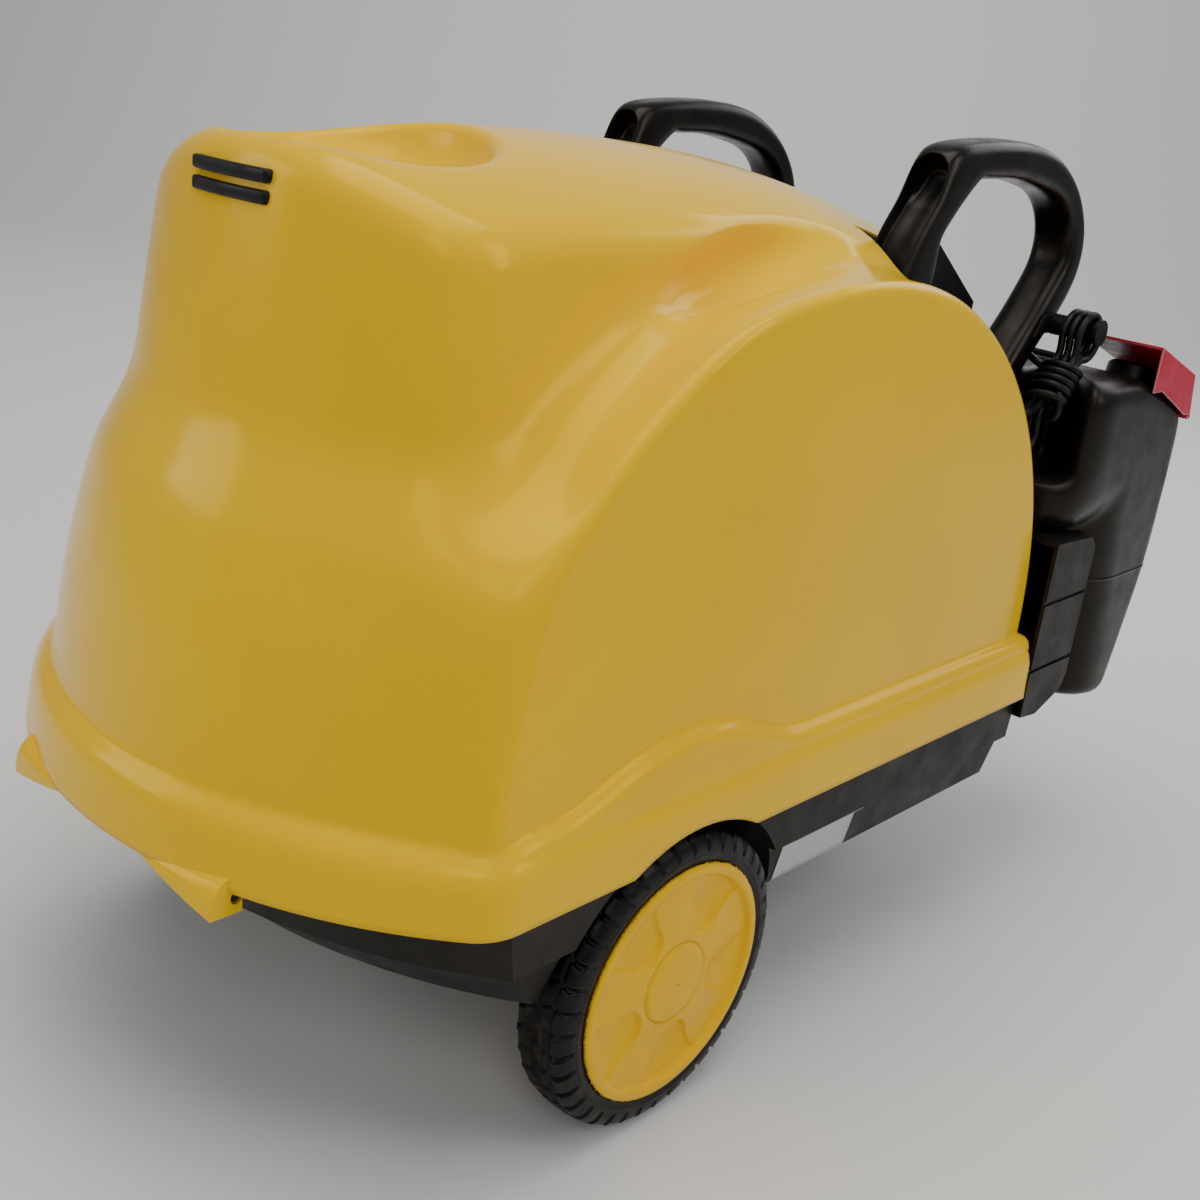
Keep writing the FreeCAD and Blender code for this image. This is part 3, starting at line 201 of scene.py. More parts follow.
def rotomoulded_yellow():
    """Polyethylene hood, rotationally moulded: deep and glossy, with a slow ripple from cooling in the mould,
    a slight fading over a hand's breadth and darker scuffs where hoses and boots rub."""
    mat, spot = new_material("moulded_yellow_shell")
    fading = put(mat, "TexNoise", Vector=spot, Scale=1 / (312.5 * MM), Detail=3)
    faded = put(mat, "MapRange", Value=fading, From_Min=0.35, From_Max=0.7)
    pigment = put(mat, "Mix", data_type="RGBA", Factor=faded, A=linear("#F2BE00"), B=linear("#F7C700"))
    rubbing = put(mat, "TexNoise", Vector=spot, Scale=1 / (45.5 * MM), Detail=8, Roughness=0.7)
    wear_and_edge_highlight = put(mat, "MapRange", Value=rubbing, From_Min=0.62, From_Max=0.72, To_Max=0.18)
    scuffed = put(mat, "Mix", data_type="RGBA", Factor=wear_and_edge_highlight, A=pigment, B=linear("#E09C00"))
    wear = put(mat, "TexNoise", Vector=spot, Scale=1 / (71.5 * MM), Detail=6)
    gloss = put(mat, "MapRange", Value=wear, From_Min=0.3, From_Max=0.75, To_Min=0.12, To_Max=0.24)
    ripple = put(mat, "TexNoise", Vector=spot, Scale=1 / (38.5 * MM), Detail=2)
    surface = put(mat, "Bump", Height=ripple, Strength=0.12, Distance=1.5 * MM)
    put(mat, "BsdfPrincipled", Base_Color=scuffed, Roughness=gloss, Normal=surface, Specular_IOR_Level=0.4,
        Specular_Tint=linear("#FFD21E"))
    return mat


def grained_black(name, fresh, dusty, roughness, grain_mm):
    """Black plastic or powder coat with a fine grain: satin, with paler dust in patches of a palm's size."""
    mat, spot = new_material(name)
    dust = put(mat, "TexNoise", Vector=spot, Scale=1 / (111 * MM), Detail=6, Roughness=0.65)
    settled = put(mat, "MapRange", Value=dust, From_Min=0.45, From_Max=0.8)
    shade = put(mat, "Mix", data_type="RGBA", Factor=settled, A=linear(fresh), B=linear(dusty))
    wear = put(mat, "TexNoise", Vector=spot, Scale=1 / (33.3 * MM), Detail=5)
    gloss = put(mat, "MapRange", Value=wear, From_Min=0.3, From_Max=0.75, To_Min=roughness - 0.07,
                To_Max=roughness + 0.12)
    grain = put(mat, "TexNoise", Vector=spot, Scale=1 / (grain_mm * MM), Detail=4)
    surface = put(mat, "Bump", Height=grain, Strength=0.25, Distance=0.4 * MM)
    put(mat, "BsdfPrincipled", Base_Color=shade, Roughness=gloss, Normal=surface, Specular_IOR_Level=0.32,
        Specular_Tint=linear("#E6D8C8"))
    return mat


def cured_rubber(name, fresh, dusty, roughness, shine=0.3):
    """Cured rubber: dull, with road dust in patches and as fine specks, and a skin left by the mould."""
    mat, spot = new_material(name)
    dust = put(mat, "TexNoise", Vector=spot, Scale=1 / (28.6 * MM), Detail=8, Roughness=0.7)
    settled = put(mat, "MapRange", Value=dust, From_Min=0.52, From_Max=0.8)
    shade = put(mat, "Mix", data_type="RGBA", Factor=settled, A=linear(fresh), B=linear(dusty))
    grit = put(mat, "TexNoise", Vector=spot, Scale=1 / (2.38 * MM), Detail=5, Roughness=0.75)
    specks = put(mat, "MapRange", Value=grit, From_Min=0.6, From_Max=0.72, To_Max=0.8)
    specked = put(mat, "Mix", data_type="RGBA", Factor=specks, A=shade, B=linear(dusty))
    wear = put(mat, "TexNoise", Vector=spot, Scale=1 / (16.7 * MM), Detail=4)
    gloss = put(mat, "MapRange", Value=wear, From_Min=0.3, From_Max=0.7, To_Min=roughness - 0.1,
                To_Max=roughness + 0.15)
    skin = put(mat, "TexNoise", Vector=spot, Scale=1 / (1.11 * MM), Detail=3)
    surface = put(mat, "Bump", Height=skin, Strength=0.2, Distance=0.2 * MM)
    put(mat, "BsdfPrincipled", Base_Color=specked, Roughness=gloss, Normal=surface, Specular_IOR_Level=shine)
    return mat


def bare_metal(name, code, roughness, grain_mm, drawn=(1, 1, 1)):
    """Metal with the grain of its making: cast evenly, or drawn out where it was brushed or turned."""
    mat, spot = new_material(name)
    along = put(mat, "Mapping", Vector=spot, Scale=drawn)
    grain = put(mat, "TexNoise", Vector=along, Scale=1 / (grain_mm * MM), Detail=4)
    gloss = put(mat, "MapRange", Value=grain, From_Min=0.3, From_Max=0.7, To_Min=roughness - 0.08,
                To_Max=roughness + 0.12)
    surface = put(mat, "Bump", Height=grain, Strength=0.12, Distance=0.2 * MM)
    put(mat, "BsdfPrincipled", Base_Color=linear(code), Roughness=gloss, Normal=surface, Metallic=1.0)
    return mat


def smooth_finish(name, fresh, faded, roughness, coat=0.0, tint="#FFFFFF"):
    """Coloured paint, enamel, ink or smooth plastic: even, fading a little in patches of half a palm."""
    mat, spot = new_material(name)
    fading = put(mat, "TexNoise", Vector=spot, Scale=1 / (55.6 * MM), Detail=5)
    amount = put(mat, "MapRange", Value=fading, From_Min=0.4, From_Max=0.75)
    shade = put(mat, "Mix", data_type="RGBA", Factor=amount, A=linear(fresh), B=linear(faded))
    wear = put(mat, "TexNoise", Vector=spot, Scale=1 / (25 * MM), Detail=5)
    gloss = put(mat, "MapRange", Value=wear, From_Min=0.3, From_Max=0.7, To_Min=roughness - 0.06,
                To_Max=roughness + 0.1)
    skin = put(mat, "TexNoise", Vector=spot, Scale=1 / (2 * MM), Detail=2)
    surface = put(mat, "Bump", Height=skin, Strength=0.1, Distance=0.2 * MM)
    put(mat, "BsdfPrincipled", Base_Color=shade, Roughness=gloss, Normal=surface, Specular_IOR_Level=0.4,
        Specular_Tint=linear(tint), Coat_Weight=coat, Coat_Roughness=0.1)
    return mat


def moulded_red():
    """Polypropylene flap, injection moulded: fades pinkish in the sun, with a pale painted highlight along
    its convex edges that also stands for edges rubbed pale by hands.
    """
    mat, spot = new_material("moulded_red_flap")
    fading = put(mat, "TexNoise", Vector=spot, Scale=1 / (33.3 * MM), Detail=5)
    faded = put(mat, "MapRange", Value=fading, From_Min=0.4, From_Max=0.75)
    pigment = put(mat, "Mix", data_type="RGBA", Factor=faded, A=linear("#BE1136"), B=linear("#CB2B4C"))
    # Pointiness finds the convex edges. Their pale colour is a painted highlight, and it also stands for
    # rubbing by hands.
    wear_and_edge_highlight = put(mat, "MapRange", Value=put(mat, "NewGeometry", "Pointiness"), From_Min=0.512, From_Max=0.56,
                 To_Max=0.75)
    shade = put(mat, "Mix", data_type="RGBA", Factor=wear_and_edge_highlight, A=pigment, B=linear("#E4B4B4"))
    wear = put(mat, "TexNoise", Vector=spot, Scale=1 / (25 * MM), Detail=5)
    gloss = put(mat, "MapRange", Value=wear, From_Min=0.3, From_Max=0.7, To_Min=0.3, To_Max=0.48)
    put(mat, "BsdfPrincipled", Base_Color=shade, Roughness=gloss, Specular_IOR_Level=0.35)
    return mat


def clear_window():
    """Polycarbonate gauge window, injection moulded: clear, with one sharp reflection."""
    mat, spot = new_material("clear_gauge_window")
    handling = put(mat, "TexNoise", Vector=spot, Scale=1 / (10 * MM), Detail=3)
    gloss = put(mat, "MapRange", Value=handling, From_Min=0.4, From_Max=0.8, To_Min=0.04, To_Max=0.07)
    put(mat, "BsdfPrincipled", Base_Color=linear("#F4FAFA"), Roughness=gloss, Transmission_Weight=1.0,
        IOR=1.45)
    return mat


# Polyethylene hood
YELLOW = rotomoulded_yellow()
# Black plastics: coarse-grained tray and tanks, finer grips and desk
TRAY = grained_black("moulded_black_tray", "#0B0B0C", "#23211E", 0.46, 1.43)
TANK = grained_black("blow_moulded_black_tank", "#0A0A0A", "#1F1C18", 0.32, 2.38)
GRIP = grained_black("blow_moulded_black_handle", "#090909", "#1B1917", 0.3, 1.11)
CONSOLE = grained_black("moulded_black_console", "#0C0C0D", "#201F1D", 0.42, 1.25)
COATED = grained_black("powder_coated_steel", "#0C0C0D", "#1A1A1B", 0.45, 0.83)
KNOB = grained_black("moulded_black_knob", "#0C0C0D", "#18181A", 0.32, 0.67)
# Rubbers: black walls with a sheen, a tread greyed by the road, limp black hose and cord, hard grey castor
TYRE = cured_rubber("vulcanised_tyre_rubber", "#060505", "#2A241E", 0.36, 0.24)
WORN = cured_rubber("road_dusted_tread_rubber", "#0A0806", "#4A3B2E", 0.48, 0.2)
SOFT = cured_rubber("black_bar_rubber", "#0B0B0B", "#1B1918", 0.45)
CORD = cured_rubber("extruded_cord_rubber", "#0D0D0D", "#242220", 0.38)
CASTOR = cured_rubber("grey_castor_rubber", "#3A3A3B", "#55534F", 0.6)
# Metals: bluish white zinc, spangled sheet, dull castings, yellow turned brass and a brushed plate
ZINC = bare_metal("zinc_plated_steel", "#B9BCBF", 0.36, 3.33)
SHEET = bare_metal("galvanised_sheet", "#A9ADB1", 0.42, 16.7)
CAST = bare_metal("die_cast_aluminium", "#A3A6A8", 0.5, 2)
BRASS = bare_metal("machined_brass", "#C59A4A", 0.3, 2.5, (1, 8, 1))
PLATE = bare_metal("brushed_blank_plate", "#C4C6C8", 0.42, 3.85, (1, 0.15, 4))
# Smooth coloured parts: painted rims, the desk's panel, dial, needle, lamps, inks and a milky float tank
RIM = smooth_finish("painted_yellow_rim", "#F4BF00", "#EEB600", 0.32, 0.0, "#FFD21E")
PANEL = smooth_finish("printed_grey_panel", "#7B7E82", "#83868A", 0.5)
ENAMEL = smooth_finish("white_enamelled_dial", "#EDEBE4", "#E4E1D8", 0.35)
NEEDLE = smooth_finish("red_lacquered_needle", "#C21A14", "#B51812", 0.4)
AMBER = smooth_finish("amber_lamp_lens", "#E07A10", "#C9690C", 0.25, 0.4)
FLOAT = smooth_finish("natural_polypropylene", "#D9DAD2", "#CFD0C6", 0.45)
WHITE_INK = smooth_finish("screen_printed_white_ink", "#E9E9E6", "#DDDDD9", 0.5)
BLACK_INK = smooth_finish("screen_printed_black_ink", "#121212", "#1C1C1C", 0.5)
RED = moulded_red()
GLASS = clear_window()


# Mains cord: one smooth line from the gland over the tank, round the hook's loops and up the winding

CORD_RADIUS = 4.25
HANK_AT = Vector((275, 422.9, 699.2))
LEAN = math.radians(40)
FOLD, APART = 25.5, 136.3
HALF, STEP = 4.5, 9.5
WRAP = (21.2, 15.8)
LEAD = [(100, 372, 700), (100, 391, 700), (98.5, 415, 689.5), (96, 437, 674.5), (99, 460, 664),
        (112, 480, 660.2), (134, 493, 659.7), (160, 498, 659.7), (186, 499.5, 659.7), (210, 497, 659.7),
        (231, 490, 659.7), (249, 480, 659.8), (261, 465.5, 665.5), (265.5, 454.4, 680.2),
        (265.5, 448.6, 701.8)]
TAIL = [(267, 406.1, 655), (249.3, 407.05, 657), (234, 409, 663.5), (216, 414.5, 670.5), (197, 418, 675.3),
        (178, 418, 675.3)]


def in_hank(x, v, s):
    """A direction given across the hank's layers, across its waist and down its length."""
    return Vector((x, v * math.cos(LEAN) - s * math.sin(LEAN), -v * math.sin(LEAN) - s * math.cos(LEAN)))


def fold_stop(x, along, degrees, over):
    """A stop on a fold's round end: where it is and which way the cord heads there."""
    angle, way = math.radians(degrees), -1 if over else 1
    return ((x, FOLD * math.sin(angle), along + way * FOLD * math.cos(angle)),
            (0, way * math.cos(angle), -math.sin(angle)))


def hank_stops():
    """Stops with headings: over the hook, down and up the loops, then up the winding."""
    neck = math.sqrt((2 * FOLD) ** 2 - (FOLD + HALF) ** 2)
    turn = 90 + math.degrees(math.atan2(neck, FOLD + HALF))
    down = [turn * k / 3 for k in (3, 2, 1, 0, -1, -2, -3)]
    stops = [fold_stop(-STEP, 0, degrees, True) for degrees in [35] + down[3:]]
    for x in (-STEP, 0):
        stops += [((x, -HALF, neck), (0, 0, 1)), ((x, -HALF, APART - neck), (0, 0, 1))]
        stops += [fold_stop(x, APART, -degrees, False) for degrees in down]
        stops += [((x, HALF, APART - neck), (0, 0, -1)), ((x + STEP, HALF, neck), (0, 0, -1))]
        stops += [fold_stop(x + STEP, 0, degrees, True) for degrees in down]
    stops += [((STEP, -HALF, neck), (0, 0, 1)), ((STEP, -HALF, 60), (0, 0, 1))]
    stops += [((19.5, 0, 92), (0.25, 0.68, 0.69))]
    return stops + winding_stops(60, 104, 22, 9, 5)


def winding_stops(first_degrees, foot, first_rise, rise, turns):
    """Stops up the winding: oval turns about the waist, the first one climbing clear of the loops."""
    stops = []
    for degrees in range(first_degrees, 91 + 360 * turns, 30):
        turned = (degrees - first_degrees) / 360
        climb = min(turned, 1) * first_rise + max(turned - 1, 0) * rise
        rate = (first_rise if turned < 1 else rise) / (2 * math.pi)
        across, up = math.cos(math.radians(degrees)), math.sin(math.radians(degrees))
        stops.append(((WRAP[0] * across, WRAP[1] * up, foot - climb),
                      (-WRAP[0] * up, WRAP[1] * across, -rate)))
    return stops


def corners(stops):
    """The route's control points: two from each stop to the next, near the ends of a long straight one."""
    points, reach = [], 0
    for (here, heading), (there, leaving) in zip(stops, stops[1:]):
        start, end = HANK_AT + in_hank(*here), HANK_AT + in_hank(*there)
        first, last = in_hank(*heading).normalized(), in_hank(*leaving).normalized()
        across, likeness = end - start, first.dot(last)
        if likeness > 1 - 1e-6 and across.angle(first) < 1e-4:
            if across.length < 2 * reach:
                continue
        elif likeness > 1 - 1e-6:
            reach = across.dot(across) / (4 * across.dot(last))
        else:
            along = across.dot(first + last)
            apart = 2 * (1 - likeness)
            reach = (math.sqrt(along ** 2 + apart * across.dot(across)) - along) / apart
        points += [start + first * reach, end - last * reach]
    return points


def cord_curve():
    route = [Vector(p) for p in LEAD] + corners(hank_stops()) + [Vector(p) for p in TAIL]
    curve = bpy.data.curves.new("mains_cord", "CURVE")
    curve.dimensions = "3D"
    curve.bevel_depth = CORD_RADIUS * MM
    curve.bevel_resolution = 5
    curve.resolution_u = 5
    curve.use_fill_caps = True
    spline = curve.splines.new("NURBS")
    spline.points.add(len(route) - 1)
    for point, place in zip(spline.points, route):
        point.co = (*(place * MM), 1)
    spline.order_u = 3
    spline.use_endpoint_u = True
    return shown("mains_cord", curve, CORD)


def turned_piece(name, corners, at, axis, mat, steps):
    """A body of revolution from (radius, height) corners in mm, about an axis from a point in mm."""
    bm = bmesh.new()
    rings = []
    for radius, height in corners:
        if radius < 1e-6:
            rings.append([bm.verts.new((0, 0, height * MM))])
        else:
            rings.append([bm.verts.new((radius * MM * math.cos(2 * math.pi * k / steps),
                                        radius * MM * math.sin(2 * math.pi * k / steps), height * MM))
                          for k in range(steps)])
    for low, high in zip(rings, rings[1:]):
        for k in range(steps):
            loop = [low[k % len(low)], low[(k + 1) % len(low)],
                    high[(k + 1) % len(high)], high[k % len(high)]]
            loop = [v for i, v in enumerate(loop) if v not in loop[:i]]
            if len(loop) > 2:
                bm.faces.new(loop)
    turn = Vector((0, 0, 1)).rotation_difference(Vector(axis)).to_matrix().to_4x4()
    bmesh.ops.transform(bm, matrix=Matrix.Translation(Vector(at) * MM) @ turn, verts=bm.verts)
    return from_bmesh(name, bm, mat, True, 35)


def strain_relief():
    """The ribbed rubber boot through which the cord leaves the desk."""
    boot = [(4.6, 19.9), (5.6, 19.2)]
    for rib in range(4):
        wider, lower = rib * 0.5, rib * 3.4
        boot += [(6.0 + wider, 17.5 - lower), (6.6 + wider, 16.9 - lower),
                 (6.7 + wider, 15.6 - lower), (6.1 + wider, 15.0 - lower)]
    boot += [(8.6, 4.4), (11.4, 4.0), (12, 3.4), (12, 0.1), (4.6, 0.1)]
    return turned_piece("cord_strain_relief", boot, (100, 352, 700), (0, 1, 0), SOFT, 40)


def mains_plug():
    """A round plug with a tapering neck and a groove round its grip."""
    neck = [(0, 0.2), (5.2, 0.2), (6.8, 2), (7.4, 10), (8.8, 20), (12, 25), (17.5, 30), (19.6, 34)]
    grip = [(19.8, 38), (18.6, 39), (18.6, 43), (19.8, 44), (19.8, 48.6), (18.6, 49.9), (0, 49.9)]
    return turned_piece("mains_plug", neck + grip, TAIL[-1], (-1, 0, 0), CORD, 48)


cord = cord_curve()
fitted(cord, "chassis", "cord_rubber", "cord_lead", "cord_hank", "cord_tail")
fitted(strain_relief(), "chassis", "console_plastic", "cord_gland")
plug = mains_plug()
fitted(plug, "chassis", "cord_rubber", "cord_plug")


# Hood: one smooth moulded surface, found along rays from inside as rounded unions and cuts of its main forms.
# A form is a field: a function of places that is below nought inside it. Places are in millimetres.

HOOD_FOOT, HOOD_TAIL, HOOD_HALF = 292, 344, 318
CORE_Y, CORE_Z = -130, 520
CHEEK_Y, CHEEK_Z = -70, 372
BOWL_AT, BOWL_HALF = (0, -402, 872), (124, 106, 78)
SCOOP_AT, SCOOP_HALF, SCOOP_TILT = (222, -100, 790), (36, 150, 34), math.radians(16)
FLUE_Y, FLUE_CUT, FLUE_HOLE = -400, 60.5, 62
ARCH_RADIUS, ARCH_INNER = 164, 260
NOTCH_INNER, NOTCH_OUTER, NOTCH_FRONT, NOTCH_FLOOR = 164, 254, 88, 340
DESK_FRONT, DESK_HALF = 216, 166
HOOD_WALL = 4.2

def table(pairs):
    """A smooth curve through (at, value) pairs, as a function over arrays."""
    xs, ys = np.array([p[0] for p in pairs], float), np.array([p[1] for p in pairs], float)
    count = len(xs)
    steps, system, right = np.diff(xs), np.eye(count), np.zeros(count)
    for i in range(1, count - 1):
        system[i, i - 1:i + 2] = steps[i - 1], 2 * (steps[i - 1] + steps[i]), steps[i]
        right[i] = 6 * ((ys[i + 1] - ys[i]) / steps[i] - (ys[i] - ys[i - 1]) / steps[i - 1])
    bend = np.linalg.solve(system, right)
    fine = np.linspace(xs[0], xs[-1], 600)
    k = np.clip(np.searchsorted(xs, fine) - 1, 0, count - 2)
    a, b, h = xs[k + 1] - fine, fine - xs[k], steps[k]
    values = ((bend[k] * a ** 3 + bend[k + 1] * b ** 3) / (6 * h) + (ys[k] / h - bend[k] * h / 6) * a
              + (ys[k + 1] / h - bend[k + 1] * h / 6) * b)
    return lambda x: np.interp(x, fine, values)


def join(a, b, radius):
    """Union of two fields with a fillet."""
    h = np.clip(0.5 + 0.5 * (b - a) / radius, 0, 1)
    return b + (a - b) * h - radius * h * (1 - h)


def meet(a, b, radius):
    """Overlap of two fields with a rounded edge."""
    return -join(-a, -b, radius)


def fade(value, low, high):
    """A smooth step from 0 to 1 between two values."""
    t = np.clip((value - low) / (high - low), 0, 1)
    return t * t * (3 - 2 * t)


def egg(x, y, z, half_x, half_y, half_z):
    """Field of an ellipsoid about the origin."""
    return (np.sqrt((x / half_x) ** 2 + (y / half_y) ** 2 + (z / half_z) ** 2) - 1) * half_z


def bow_arc(x, y, half, bow, corner):
    """Distance in front of the arc through (-half, corner), (0, bow) and (half, corner)."""
    rise = corner - bow
    radius = (half ** 2 + rise ** 2) / (2 * rise)
    return np.sqrt(x ** 2 + np.minimum(y - bow - radius, 0) ** 2) - radius


# Half widths, and how far forward the middle and the corners reach, at heights
SKIRT_W = table([(292, 338), (320, 337), (336, 336), (348, 332), (363, 324)])
SKIRT_BOW = table([(292, -643), (320, -639), (336, -636), (348, -631), (363, -622)])
APRON_BOW = table([(292, -616), (350, -613), (450, -600), (530, -583), (590, -564), (630, -546), (665, -524),
                   (720, -470)])
APRON_CORNER = table([(292, -489), (350, -487), (450, -472), (530, -446), (590, -412), (630, -376),
                      (665, -340), (720, -270)])
TOWER_W = table([(292, 237), (350, 234), (600, 223), (811, 207), (900, 200)])
TOWER_BOW = table([(292, -620), (350, -611), (450, -596), (530, -579), (600, -562), (700, -543), (811, -527),
                   (900, -514)])
KNEE_X = table([(292, 174), (350, 172), (600, 166), (811, 152), (900, 147)])
KNEE_Y = table([(292, -570), (350, -561), (450, -546), (530, -530), (600, -516), (700, -503), (811, -490),
                (900, -478)])
# The deck's height along the hood
DECK = table([(-620, 846), (-540, 850), (-480, 857), (-400, 863), (-250, 866), (-100, 862), (50, 848),
              (200, 818), (400, 762)])
# Distances from the cheek's middle by angle: of its top at the tower, of its ridge, and the dip between them
SHOULDER = table([(-40, 404), (0, 404), (20, 410), (40, 426), (60, 446), (78, 430), (95, 405), (112, 405),
                  (127, 421), (140, 446), (151, 470), (165, 462), (180, 462), (220, 462)])
RIDGE = table([(-40, 412), (0, 412), (40, 413), (80, 410), (95, 409), (106, 413), (116, 417), (126, 412),
               (137, 413), (147, 415), (154, 419), (162, 421), (180, 421), (220, 421)])
DIP = table([(-40, 7), (0, 7), (60, 7), (120, 7), (132, 12), (145, 22), (160, 28), (180, 28), (220, 28)])


def skirt_field(x, y, z):
    """The band round the hood's foot, flared over each wheel."""
    band = bow_arc(x, y, SKIRT_W(z) + 2, SKIRT_BOW(z), SKIRT_BOW(z) + 148)
    flare = np.hypot(y - AXLE_Y + 15, z - AXLE_Z) - 255
    outline = join(meet(band, z - 366, 26), flare, 22)
    return meet(outline, np.abs(x) - SKIRT_W(np.minimum(z, 350)), 16)


def apron_field(x, y, z):
    """The low bowed front."""
    bow = bow_arc(x, y, HOOD_HALF + 1, APRON_BOW(z), APRON_CORNER(z))
    top = z - 618 + 14 * fade(np.abs(x), 190, 300)
    return meet(meet(bow, top, 70), y + 90, 10)


def tower_field(x, y, z):
    """The leaning tower and the deck that runs back from it."""
    side = np.abs(x)
    walls = meet(side - TOWER_W(z), bow_arc(x, y, KNEE_X(z), TOWER_BOW(z), KNEE_Y(z)), 38)
    return meet(walls, z - DECK(y) + 54 * (side / 197) ** 2, 24 + 6 * fade(-y, 380, 500))


def cheek_field(x, y, z):
    """A wheel side: a wide arch whose top dips between the tower and the ridge at its outer edge."""
    side, back, up = np.abs(x), y - CHEEK_Y, z - CHEEK_Z
    angle = np.degrees(np.arctan2(up, back))
    angle = np.where(angle < -90, angle + 360, angle)
    shoulder, ridge = SHOULDER(angle), RIDGE(angle)
    dip = (shoulder + ridge) / 2 - DIP(angle)
    t = np.clip((side - 180) / (HOOD_HALF - 180), 0, 1)
    edge = shoulder * (1 - t) * (1 - 2 * t) + 4 * dip * t * (1 - t) + ridge * t * (2 * t - 1)
    return meet(np.where(up > 0, np.hypot(back, up), np.abs(back)) - edge, 160 - side, 10)


def hood_field(x, y, z):
    """The whole hood."""
    side = np.abs(x)
    lean = 15 * fade(-y, 120, 380) * fade(z, 400, 570)
    body = join(apron_field(x, y, z), cheek_field(x, y, z), 30)
    body = meet(body, side - HOOD_HALF + lean, 13 + 7 * fade(-y, 380, 450))
    form = join(join(body, tower_field(x, y, z), 40), skirt_field(x, y, z), 5)
    along, up = y - SCOOP_AT[1], z - SCOOP_AT[2]
    scoop = egg(side - SCOOP_AT[0], along * math.cos(SCOOP_TILT) + up * math.sin(SCOOP_TILT),
                up * math.cos(SCOOP_TILT) - along * math.sin(SCOOP_TILT), *SCOOP_HALF)
    bowl = egg(x - BOWL_AT[0], y - BOWL_AT[1], z - BOWL_AT[2], *BOWL_HALF)
    return meet(meet(form, -scoop, 14), -bowl, 9)


def hood_rays(count):
    """Level directions from the hood's middle to evenly spaced places round a rough outline of it."""
    half, bow, depth, tail = 330, -640, 160, HOOD_TAIL + 8
    front = [(half * math.sin(a), bow + depth * (1 - math.cos(a))) for a in np.linspace(0, math.pi / 2, 80)]
    side = [(half, y) for y in np.linspace(bow + depth + 2, tail, 120)]
    path = np.array(front + side + [(x, tail) for x in np.linspace(half - 3, 0, 60)])
    walked = np.r_[0, np.cumsum(np.linalg.norm(np.diff(path, axis=0), axis=1))]
    at = np.linspace(0, walked[-1], count)
    path = np.stack([np.interp(at, walked, path[:, 0]), np.interp(at, walked, path[:, 1])], 1)
    path = np.concatenate([path, (path * [-1, 1])[-2:0:-1]])
    way = path - [0, CORE_Y]
    return path, way / np.linalg.norm(way, axis=1)[:, None]


def first_inside(origin, ray, field, reach, step=6.0):
    """Distances along rays at which a field's outer surface is met, coming in from a reach."""
    def inside(t):
        return field(*(origin + ray * t[:, None]).T) < 0
    far = np.full(len(origin), reach)
    found = np.zeros(len(origin), bool)
    for _ in range(int(reach / step)):
        found |= inside(far)
        far = np.where(found, far, far - step)
    low, high = far.copy(), far + step
    for _ in range(14):
        middle = (low + high) / 2
        here = inside(middle)
        low, high = np.where(here, middle, low), np.where(here, high, middle)
    return low


def solve_hood(columns, tops):
    """Rings of the hood's surface, lowest first: level rays up to the core's height, then a dome of them."""
    path, way = hood_rays(columns)
    count = len(path)
    ahead = path[:, 1] - AXLE_Y
    arch = AXLE_Z + np.sqrt(np.clip(ARCH_RADIUS ** 2 - ahead ** 2, 0, None))
    over_wheel = (np.abs(path[:, 0]) > ARCH_INNER) & (np.abs(ahead) < ARCH_RADIUS)
    foot = np.where(over_wheel, np.maximum(HOOD_FOOT, arch), HOOD_FOOT)
    levels = np.concatenate([np.linspace(0, 0.22, 10)[:-1], np.linspace(0.22, 0.36, 22)[:-1],
                             np.linspace(0.36, 1, 34)])
    origins, ways = [], []
    for level in levels:
        height = foot + (CORE_Z - foot) * level
        origins.append(np.stack([np.zeros(count), np.full(count, float(CORE_Y)), height], 1))
        ways.append(np.concatenate([way, np.zeros((count, 1))], 1))
    for tip in np.linspace(0, math.pi / 2, tops + 1)[1:]:
        origins.append(np.tile([0.0, CORE_Y, CORE_Z], (count, 1)))
        ways.append(np.concatenate([way * math.cos(tip), np.full((count, 1), math.sin(tip))], 1))
    origin, ray = np.concatenate(origins), np.concatenate(ways)
    far = first_inside(origin, ray, hood_field, 900.0)
    return (origin + ray * far[:, None]).reshape(len(levels) + tops, count, 3)


def from_flue(co):
    """A place's level distance from the flue's middle, in mm."""
    return math.hypot(co.x, co.y - FLUE_Y * MM) / MM


def cut_away(co):
    """Whether a place lies past the tail or in one of the hood's openings."""
    x, y, z = co / MM
    notch = NOTCH_INNER < abs(x) < NOTCH_OUTER and y > NOTCH_FRONT and z > NOTCH_FLOOR
    desk = abs(x) < DESK_HALF and y > DESK_FRONT
    flue = z > 700 and from_flue(co) < FLUE_CUT
    return y > HOOD_TAIL - 0.2 or notch or desk or flue


